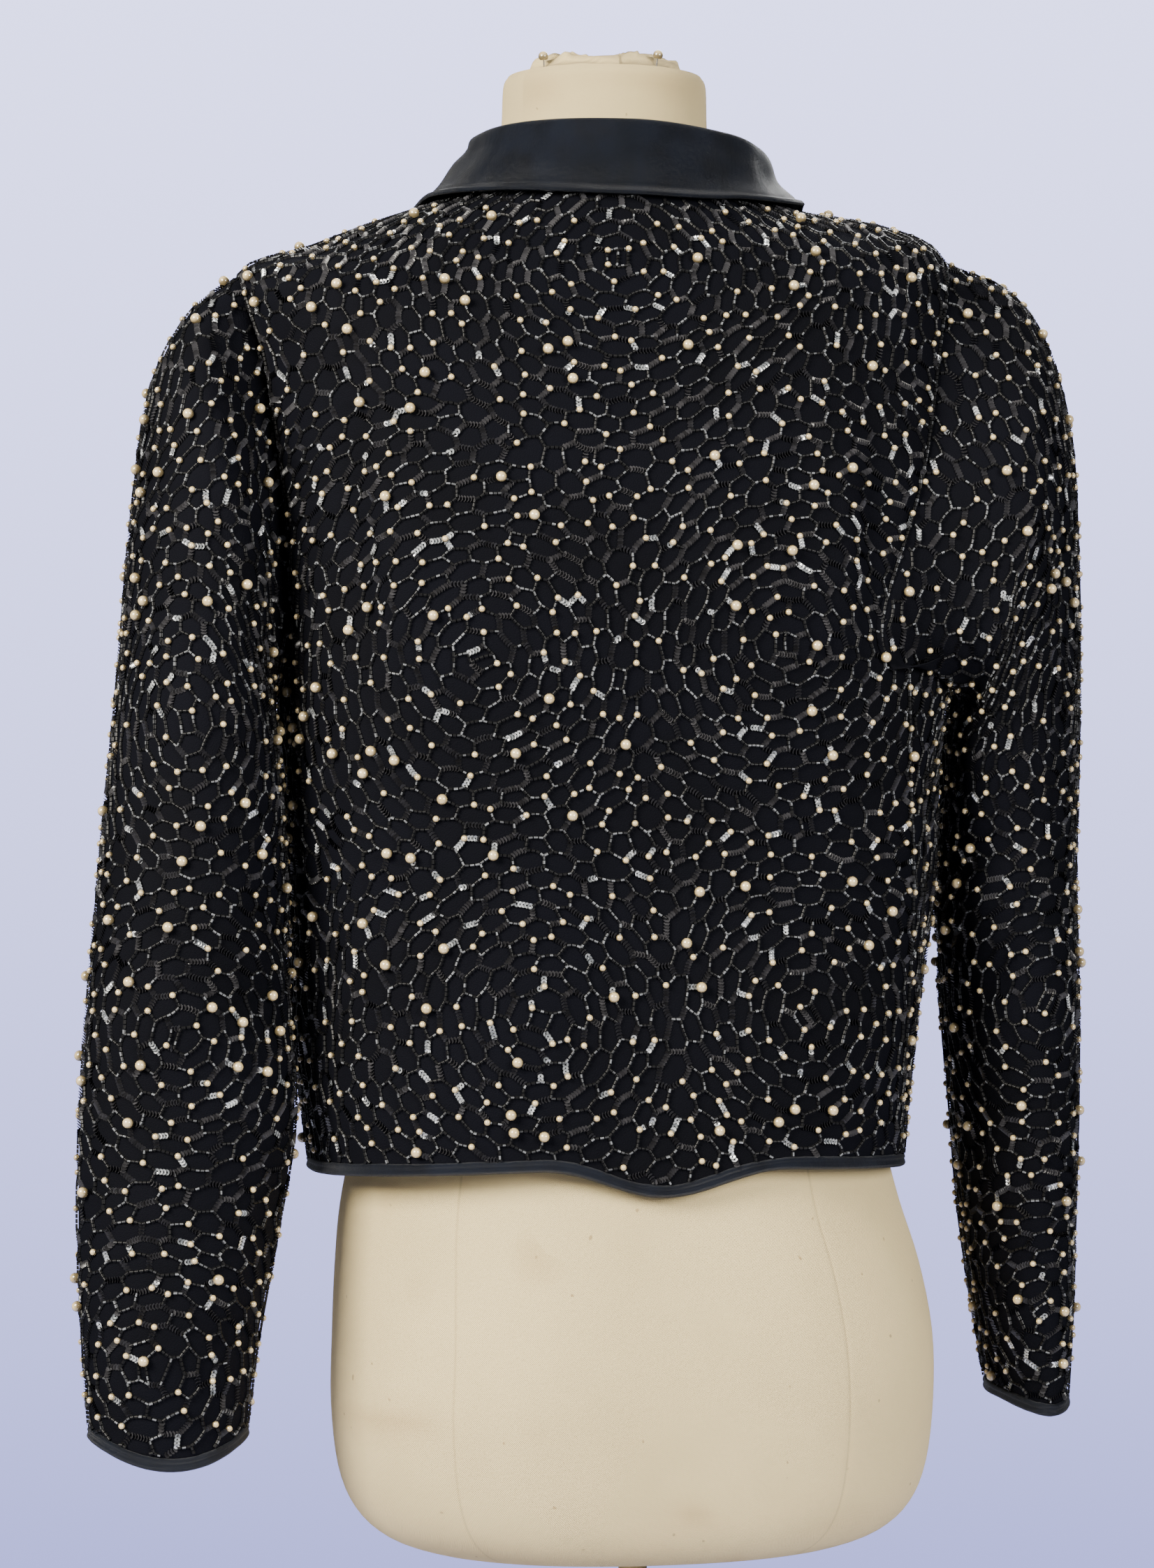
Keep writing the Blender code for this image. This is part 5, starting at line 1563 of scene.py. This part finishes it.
class JACKET_OT_collar(bpy.types.Operator):
    """Make the satin collar."""

    bl_idname = "jacket.collar"
    bl_label = "Satin collar"

    def execute(self, context):
        """Build the stand, the fold and the fall in one piece, with a rolled edge."""
        cloth = context.scene.jacket_cloth
        first, last = COLLAR[0, 0], COLLAR[-1, 0]
        degrees = np.linspace(first, last, COLLAR_COLUMNS + 1)
        places = np.linspace(0.0, COLLAR_EDGE_PLACE, COLLAR_STEPS + 1)
        degrees, places = np.meshgrid(degrees, places)
        points = collar_surface(degrees, places)
        within = np.clip(degrees, first + COLLAR_END_MARGIN, last - COLLAR_END_MARGIN)
        normals = -outward(collar_surface, within, places, BODY_STEP)
        relief = np.zeros(places.shape)
        for angle, place, width, height, depth in COLLAR_BUMPS:
            relief += depth * np.exp(-((degrees - angle) / width) ** 2
                                     - ((places - place) / height) ** 2)
        for place, width, depth in COLLAR_EDGE_SHAPE:
            relief += depth * np.exp(-((places - place) / width) ** 2)
        points = points + normals * relief[..., None]
        inner = points - cloth.satin_wall * normals
        flat = flat_of(points)
        piece = add_shell("collar_satin", points, inner, flat, "black_satin")
        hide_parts("collar")
        declare_cloth(points, flat)
        return {"FINISHED"}


BINDING_TURNS = 11
BINDING_SWELL, SWELL_RUN = 0.10, 5
BINDING_GAP = 0.0003
HEM_COLUMNS, CUFF_COLUMNS = 240, 72
PANEL_WALL = 0.003
BAND_LIFT = 0.0002
BAND_WALL = 0.0007


def binding_profile(cloth):
    """Cross-section of a binding: out along the band, round the roll, up the inside."""
    radius = cloth.binding_radius
    turns = np.linspace(0.0, np.pi, BINDING_TURNS)
    roll = [(radius * math.cos(turn), -radius * math.sin(turn)) for turn in turns]
    top = cloth.band_height + radius
    out = [(-0.0006, top + 0.0004), (0.0006, top), (radius - 0.0008, top - 0.0008),
           (radius - 0.0005, 0.5 * top + 0.0008), (radius - 0.0009, 0.0022),
           (radius - 0.0003, 0.0009)]
    back = [(-radius + 0.0004, 0.0012), (-radius + 0.0002, 0.5 * cloth.band_height)]
    return np.array(out + roll + back)


def add_binding(name, node, line, normals, closed, cloth, random):
    """Wrap satin round a line of points: a stitched band outside and a roll underneath."""
    profile = binding_profile(cloth)
    after = np.roll(line, -1, 0) if closed else np.concatenate([line[1:], line[-1:]])
    before = np.roll(line, 1, 0) if closed else np.concatenate([line[:1], line[:-1]])
    down = unit(np.cross(unit(after - before), normals))
    down = np.where(down[:, 2:] > 0, -down, down)
    run = np.ones(SWELL_RUN) / SWELL_RUN
    swell = 1 + BINDING_SWELL * np.convolve(random.standard_normal(len(line)), run, "same")
    grids = []
    for inset in (0.0, BAND_WALL):
        edge = unit(np.gradient(profile, axis=0))
        section = profile + inset * np.stack([edge[:, 1], -edge[:, 0]], 1)
        grid = (line[None] + section[:, :1, None] * swell[None, :, None] * normals[None]
                - section[:, 1:, None] * swell[None, :, None] * down[None])
        grids.append(grid)
    flat = flat_of(grids[0])
    piece = add_shell(name, grids[0], grids[1], flat, "black_satin", closed)
    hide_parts(node)
    whole = np.concatenate([grids[0], grids[0][:, :1]], 1) if closed else grids[0]
    declare_cloth(whole, flat_of(whole))


class JACKET_OT_bindings(bpy.types.Operator):
    """Make the satin bindings of the hem and cuffs."""

    bl_idname = "jacket.bindings"
    bl_label = "Satin bindings"

    def execute(self, context):
        """Build the hem binding and both cuff bindings."""
        cloth, net = context.scene.jacket_cloth, context.scene.jacket_net
        random = np.random.default_rng(net.seed)
        drop = np.array((0.0, 0.0, cloth.binding_radius + BINDING_GAP))
        degrees = np.linspace(-FRONT_EDGE_ANGLE, FRONT_EDGE_ANGLE, HEM_COLUMNS + 1)
        zero = np.zeros(len(degrees))
        normals = outward(body_points, degrees, zero, BODY_STEP)
        line = body_points(degrees, zero) - 0.5 * PANEL_WALL * normals - drop
        add_binding("hem_satin", "hem_binding", line, normals, False, cloth, random)
        for side in SIDES:
            surface = sleeve_surface(side)
            turns = np.arange(CUFF_COLUMNS) / CUFF_COLUMNS
            last = np.full(CUFF_COLUMNS, float(len(SLEEVE_RINGS[side])))
            normals = -SIDE_SIGN[side] * outward(surface, turns, last, SLEEVE_STEP)
            line = surface(turns, last) - 0.5 * PANEL_WALL * normals - drop
            add_binding(f"cuff_satin_{side}", f"cuff_binding_{side}", line, normals, True, cloth,
                        random)
        return {"FINISHED"}


# Stains on the form's back: distance along a level line, height, half width, half height, depth
STAIN_LINE = (-0.9816, 0.1908)
FORM_STAINS = (
    (-0.136, 0.298, 0.024, 0.007, 0.9), (-0.118, 0.304, 0.012, 0.006, 0.5),
    (0.031, 0.252, 0.010, 0.006, 0.8), (0.054, 0.221, 0.009, 0.007, 0.6),
    (-0.052, 1.026, 0.014, 0.010, 0.7), (0.020, 1.028, 0.016, 0.009, 0.5),
    (-0.005, 1.031, 0.030, 0.004, 0.4), (0.120, 0.240, 0.030, 0.012, 0.3),
    (-0.090, 0.225, 0.040, 0.010, 0.3))
FORM_COLUMNS = 160
FORM_STEPS_EACH = 4
SEAM_FADE_ROWS = 1.5
FLAT_RADIUS = 0.15
NECK_PLEATS = 26
NECK_RINGS, NECK_COLUMNS = 44, 168
PLEAT_WIDTHS, PLEAT_HEIGHTS = (0.05, 0.16), (0.0018, 0.0062)
NECK_FLATTENING = 0.955
NECK_WALL = 0.0006
NECK_RIM_DROP = 0.0040
NECK_CAP = 0.80
# Strength of the painted shade in the neck cap's creases
NECK_CREASE_SHADE = 2.2
# Pins: distance to the left and back of the neck's middle, and lean in degrees
PINS = ((0.0385, 0.022, 8.0), (-0.0220, 0.038, -6.0))
PIN_REACH = 0.0055
PIN_SIDES = 8
PIN_RADIUS = 0.0004
PIN_HEAD = 0.0028


def form_table():
    """Sections of the whole form, its shoulders taken from the jacket's own rows."""
    shoulders = []
    for row in FORM_SHOULDER_ROWS:
        section = table_at(JACKET, row).copy()
        section[0] -= SHOULDER_DROP / math.cos(math.radians(SHOULDER_SLOPE))
        section[1:3] -= 2 * SHOULDER_DROP
        section[4:6] -= SHOULDER_CLEARANCE
        shoulders.append(section)
    rows = np.concatenate([np.zeros(len(FORM_TORSO)), FORM_SHOULDER_ROWS,
                           np.full(len(FORM_NECK), NECK_ROW)])
    return np.concatenate([FORM_TORSO, shoulders, FORM_NECK]), rows


class JACKET_OT_form(bpy.types.Operator):
    """Make the canvas form, its gathered neck top and the pins."""

    bl_idname = "jacket.form"
    bl_label = "Canvas form"

    def execute(self, context):
        """Build the canvas body, then the neck's top and two pins."""
        cloth = context.scene.jacket_cloth
        table, jacket_rows = form_table()
        steps = (len(table) - 1) * FORM_STEPS_EACH
        place = np.arange(steps + 1) / FORM_STEPS_EACH
        even = 360.0 * np.arange(FORM_COLUMNS) / FORM_COLUMNS - 180.0
        beside = (np.array(FORM_SEAMS)[:, None] + FORM_SEAM_STEPS + 180.0) % 360.0 - 180.0
        far = abs((even[:, None] - FORM_SEAMS + 180.0) % 360.0 - 180.0).min(1) > FORM_SEAM_STEPS[-1]
        around = np.sort(np.concatenate([even[far], beside.ravel()]))
        columns = len(around)
        degrees, places = np.meshgrid(around, place)
        sections = table_at(table, places)
        seams = np.zeros(degrees.shape)
        radius = section_points(sections, degrees)[1]
        for seam in FORM_SEAMS:
            aside = np.radians((degrees - seam + 180) % 360 - 180) * radius
            seams = np.maximum(seams, np.exp(-(aside / FORM_SEAM_WIDTH) ** 2))
        seams *= ease((len(table) - len(FORM_NECK) - places) / SEAM_FADE_ROWS)
        points = section_points(sections, degrees, -cloth.seam_depth * seams)[0]
        rows = np.interp(places, np.arange(len(table)), jacket_rows)
        points[..., 2] += right_shoulder_rise(degrees, rows)
        flat = np.stack([np.radians(degrees) * FLAT_RADIUS, points[..., 2]], -1).reshape(-1, 2)
        faces = grid_faces(*degrees.shape, closed=True)
        vertices = np.concatenate([points.reshape(-1, 3), points[:1].mean(1)])
        start = len(vertices) - 1
        number = np.arange(columns)
        foot = np.stack([(number + 1) % columns, number, np.full(columns, start)], 1)
        triangles = np.concatenate([faces[:, [0, 1, 2]], faces[:, [0, 2, 3]], foot])
        piece = add_piece("form_canvas", vertices, triangles, bpy.data.materials["cream_canvas"])
        add_flat_map(piece, np.concatenate([flat, flat[:1]]))
        add_numbers(piece, "seam", "POINT", np.append(seams, 0.0))
        across = points[..., :2] @ STAIN_LINE
        stains = sum(depth * np.exp(-((across - middle) / width) ** 2
                                    - ((points[..., 2] - height) / tall) ** 2)
                     for middle, height, width, tall, depth in FORM_STAINS)
        add_numbers(piece, "stain", "POINT", np.append(stains * (points[..., 1] > 0), 0.0))
        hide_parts("dress_form")
        self.make_neck_top(context)
        return {"FINISHED"}

    def make_neck_top(self, context):
        """Canvas gathered over the neck's top, held by two pins with pearl heads."""
        random = np.random.default_rng(context.scene.jacket_net.seed + 3)
        share = np.linspace(0.0, 1.0, NECK_RINGS)[:, None]
        turn = 2 * np.pi * np.arange(NECK_COLUMNS) / NECK_COLUMNS
        pleats = np.zeros(NECK_COLUMNS)
        for middle, width, height in zip(random.uniform(0, 2 * np.pi, NECK_PLEATS),
                                         random.uniform(*PLEAT_WIDTHS, NECK_PLEATS),
                                         random.uniform(*PLEAT_HEIGHTS, NECK_PLEATS)):
            gap = (turn - middle + np.pi) % (2 * np.pi) - np.pi
            pleats = np.maximum(pleats, height * np.maximum(1 - abs(gap / width), 0.0))
        wobble = 0.16 * np.sin(3 * turn + 6 * share) + 0.10 * np.sin(7 * turn - 5 * share)
        shifted = np.stack([np.interp((turn + row) % (2 * np.pi), turn, pleats, period=2 * np.pi)
                            for row in wobble])
        edge = NECK_CAP * (1 + 0.03 * np.sin(5 * turn + 1) + 0.02 * np.sin(11 * turn))
        raised = ease((edge - share) / 0.05)
        swell = raised * (0.35 + 0.65 * np.sin(np.pi * np.clip(share / NECK_CAP, 0.0, 1.0)))
        dome = 0.0026 * (1 - share ** 2) + 0.0032 * raised - 0.0048 * ease((share - 0.73) / 0.24)
        radius = NECK_RADIUS * share
        ripple = 0.0008 * np.sin(30 * share + 7 * turn) * raised * share
        points = np.stack([NECK_TOP.x + radius * np.sin(turn),
                           NECK_TOP.y + NECK_FLATTENING * radius * np.cos(turn),
                           NECK_TOP.z + 0.0016 + dome + shifted * swell + ripple], -1)
        drop = points[-1].copy()
        drop[:, 2] = NECK_TOP.z - NECK_RIM_DROP
        points = np.concatenate([points, drop[None]])
        under = points - (0.0, 0.0, NECK_WALL)
        flat = flat_of(points)
        piece = add_shell("neck_canvas", points, under, flat, "cream_canvas", True)
        # Painted shade: darker along the line under the gathered rim and in the valleys between
        # pleats, written as seam numbers for the canvas.
        rim = np.exp(-((share - edge - 0.012) / 0.022) ** 2)
        pleat_valley_shade = 0.55 * raised * (1 - ease(shifted / 0.0016))
        seam_line_and_crease_shade = np.maximum(np.broadcast_to(rim, raised.shape), pleat_valley_shade)
        seam_line_and_crease_shade = np.concatenate([seam_line_and_crease_shade, 0 * seam_line_and_crease_shade[:1]]).ravel()
        add_numbers(piece, "seam", "POINT", NECK_CREASE_SHADE * np.concatenate([seam_line_and_crease_shade, seam_line_and_crease_shade]))
        declare_cloth(np.concatenate([points, points[:, :1]], 1), flat_circle(points))
        for number, pin in enumerate(PINS, 1):
            self.make_pin(number, *pin)

    def make_pin(self, number, x, y, lean):
        """One dressmaker's pin with a pearl head, standing in the neck's top."""
        tilt = math.radians(lean)
        foot = np.array((NECK_TOP.x + x, NECK_TOP.y + y, NECK_TOP.z + 0.0015))
        along = np.array((math.sin(tilt), 0.25, math.cos(tilt)))
        along /= np.linalg.norm(along)
        head = foot + PIN_REACH * along
        copies, template, crown = pearl_arrays(head[None], along[None], PIN_HEAD,
                                               *PIN_HEAD_STEPS)
        vertices, faces = repeated(copies, template)
        pearl = add_pearls(f"pin_head_{number}", vertices, faces, crown)
        turns = 2 * np.pi * np.arange(PIN_SIDES) / PIN_SIDES
        side = unit(np.cross(along, (0.0, 1.0, 0.3)))
        other = np.cross(along, side)
        circle = PIN_RADIUS * (np.cos(turns)[:, None] * side + np.sin(turns)[:, None] * other)
        shank = np.concatenate([foot - 0.004 * along + circle, head - 0.001 * along + circle])
        add_piece(f"pin_shank_{number}", shank, grid_faces(2, PIN_SIDES, closed=True),
                  bpy.data.materials["pin_steel"])


def flat_circle(points):
    """Flat places of a round piece that was gathered at its rim."""
    spread = points.reshape(-1, 3)[:, :2]
    return spread - spread.mean(0)


class JACKET_OT_stand(bpy.types.Operator):
    """Finish the pole, its collar and the base."""

    bl_idname = "jacket.stand"
    bl_label = "Pole and base"

    def execute(self, context):
        """Give the stand's own solids their finishes."""
        for node, finish in (("pole", "worn_brass"), ("pole_collar", "worn_brass"),
                             ("base", "base_enamel")):
            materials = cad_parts[node].data.materials
            materials.clear()
            materials.append(bpy.data.materials[finish])
        return {"FINISHED"}


SKY_TOP = (1.99, 2.05, 3.40, 1.0)
SKY_FOOT = (0.61, 0.645, 1.48, 1.0)
SKY_LIGHT = (0.86, 0.89, 1.0, 1.0)
SKY_REACH = 0.19
FLOOR_COLOUR = (0.52, 0.54, 0.74, 1.0)
FLOOR_FADE_SHARES = (0.45, 0.98)
FLOOR_RINGS, FLOOR_SIDES = 12, 96
FLOOR_GAP = 0.0002
# Lights: share of the power, size, distances towards the camera, aside and up, and colour
LIGHTS = {"key": (1.0, 1.1, (1.6, -1.5, 1.0), (1.0, 0.945, 0.84)),
          "fill": (1.0, 1.0, (1.9, 1.5, 0.6), (1.0, 0.97, 0.92)),
          "rim": (0.5, 1.4, (-1.9, 0.4, 1.4), (1.0, 1.0, 1.0))}


def make_sky(stage):
    """Plain pale surroundings, a little darker towards the floor, and even light."""
    world = bpy.data.worlds.new("studio")
    world.use_nodes = True
    tree = world.node_tree
    tree.nodes.clear()
    link = tree.links.new
    place = add_node(tree, "ShaderNodeTexCoord")
    parts = add_node(tree, "ShaderNodeSeparateXYZ")
    link(place.outputs["Generated"], parts.inputs["Vector"])
    climb = mapped(tree, parts.outputs["Z"], -SKY_REACH, SKY_REACH)
    colour = mix_colours(tree, climb, SKY_FOOT, SKY_TOP)
    seen = add_node(tree, "ShaderNodeBackground", Strength=1.0)
    link(colour, seen.inputs["Color"])
    light = add_node(tree, "ShaderNodeBackground", Color=SKY_LIGHT, Strength=stage.sky_strength)
    path = add_node(tree, "ShaderNodeLightPath")
    mix = add_node(tree, "ShaderNodeMixShader")
    link(path.outputs["Is Camera Ray"], mix.inputs["Fac"])
    link(light.outputs["Background"], mix.inputs[1])
    link(seen.outputs["Background"], mix.inputs[2])
    out = add_node(tree, "ShaderNodeOutputWorld")
    link(mix.outputs["Shader"], out.inputs["Surface"])
    bpy.context.scene.world = world


def make_floor(stage):
    """A round pale floor that fades out at its rim."""
    tree, shader = new_tree("studio_floor")
    place = add_node(tree, "ShaderNodeTexCoord")
    far = add_node(tree, "ShaderNodeVectorMath", operation="LENGTH")
    tree.links.new(place.outputs["Object"], far.inputs[0])
    near, rim = (share * stage.floor_radius for share in FLOOR_FADE_SHARES)
    fade = mapped(tree, far.outputs["Value"], near, rim, 1.0, 0.0)
    fade.node.interpolation_type = "SMOOTHSTEP"
    tree.links.new(fade, shader.inputs["Alpha"])
    grain = add_group(tree, "cloth_grain", Fine_Scale=300.0, Cloud_Scale=3.0)
    colour = mix_colours(tree, grain.outputs["Clouds"], scaled_colour(FLOOR_COLOUR, 0.97),
                         FLOOR_COLOUR)
    tree.links.new(colour, shader.inputs["Base Color"])
    shader.inputs["Roughness"].default_value = 0.9
    rings = np.linspace(0.0, stage.floor_radius, FLOOR_RINGS + 1)[1:]
    turns = 2 * np.pi * np.arange(FLOOR_SIDES) / FLOOR_SIDES
    circle = np.stack([np.cos(turns), np.sin(turns), np.zeros(FLOOR_SIDES)], 1)
    grid = np.concatenate([ring * circle for ring in rings])
    mesh = bpy.data.meshes.new("floor")
    vertices = grid.tolist() + [(0.0, 0.0, 0.0)]
    faces = grid_faces(FLOOR_RINGS, FLOOR_SIDES, closed=True).tolist()
    faces += [(len(vertices) - 1, number, (number + 1) % FLOOR_SIDES)
              for number in range(FLOOR_SIDES)]
    mesh.from_pydata(vertices, [], faces)
    mesh.materials.append(bpy.data.materials["studio_floor"])
    floor = bpy.data.objects.new("floor", mesh)
    bpy.context.scene.collection.objects.link(floor)
    floor.location.z = -FLOOR_GAP


def add_light(name, power, size, place, aim, colour):
    """A soft square light that faces a point."""
    data = bpy.data.lights.new(name, "AREA")
    data.energy = power
    data.size = size
    data.color = colour
    light = bpy.data.objects.new(name, data)
    light.location = place
    light.rotation_euler = (place - aim).to_track_quat("Z", "Y").to_euler()
    bpy.context.scene.collection.objects.link(light)


class JACKET_OT_stage(bpy.types.Operator):
    """Make the floor, the studio light and the camera."""

    bl_idname = "jacket.stage"
    bl_label = "Stage"

    def execute(self, context):
        """Build the surroundings and place the camera at the photo's angle."""
        stage = context.scene.jacket_stage
        make_sky(stage)
        make_floor(stage)
        aim = Vector(stage.aim)
        angle = math.radians(stage.azimuth)
        toward = Vector((math.sin(angle), -math.cos(angle), 0.0))
        aside = Vector((-toward.y, toward.x, 0.0))
        up = Vector((0.0, 0.0, 1.0))
        for name, (share, size, (near, sideways, rise), colour) in LIGHTS.items():
            power = stage.key_power if name == "key" else stage.fill_power
            place = aim + near * toward + sideways * aside + rise * up
            add_light(name, share * power, size, place, aim, colour)
        camera_data = bpy.data.cameras.new("camera")
        camera_data.lens = stage.lens
        camera_data.sensor_width = 36.0
        camera_data.clip_start = 0.05
        camera_data.clip_end = 30.0
        camera = bpy.data.objects.new("camera", camera_data)
        camera.location = aim + stage.distance * toward
        camera.rotation_euler = toward.to_track_quat("Z", "Y").to_euler()
        context.scene.collection.objects.link(camera)
        context.scene.camera = camera
        return {"FINISHED"}


class JACKET_PT_sidebar(bpy.types.Panel):
    """Lists the jacket's steps and sizes."""

    bl_idname = "JACKET_PT_sidebar"
    bl_label = "Beaded jacket"
    bl_space_type = "VIEW_3D"
    bl_region_type = "UI"
    bl_category = "Jacket"

    def draw(self, context):
        """List the operators, then the settings."""
        for operator in OPERATORS:
            self.layout.operator(operator.bl_idname)
        for settings in (context.scene.jacket_net, context.scene.jacket_cloth,
                         context.scene.jacket_colours, context.scene.jacket_stage):
            box = self.layout.box()
            for name in settings.bl_rna.properties.keys():
                if name not in ("rna_type", "name"):
                    box.prop(settings, name)


OPERATORS = (JACKET_OT_materials, JACKET_OT_panels, JACKET_OT_collar, JACKET_OT_bindings,
             JACKET_OT_form, JACKET_OT_stand, JACKET_OT_stage)
SETTINGS = (("jacket_net", NetSettings), ("jacket_cloth", ClothSettings),
            ("jacket_colours", ColourSettings), ("jacket_stage", StageSettings))


def register():
    """Add the settings, operators and panel."""
    for name, settings in SETTINGS:
        bpy.utils.register_class(settings)
        setattr(bpy.types.Scene, name, PointerProperty(type=settings))
    for item in OPERATORS + (JACKET_PT_sidebar,):
        bpy.utils.register_class(item)


def unregister():
    """Remove the panel, operators and settings."""
    for item in (JACKET_PT_sidebar,) + OPERATORS[::-1]:
        bpy.utils.unregister_class(item)
    for name, settings in SETTINGS[::-1]:
        delattr(bpy.types.Scene, name)
        bpy.utils.unregister_class(settings)


def main():
    """Build everything in order."""
    register()
    bpy.ops.jacket.materials()
    bpy.ops.jacket.panels()
    bpy.ops.jacket.collar()
    bpy.ops.jacket.bindings()
    bpy.ops.jacket.form()
    bpy.ops.jacket.stand()
    bpy.ops.jacket.stage()


if __name__ == "__main__":
    main()
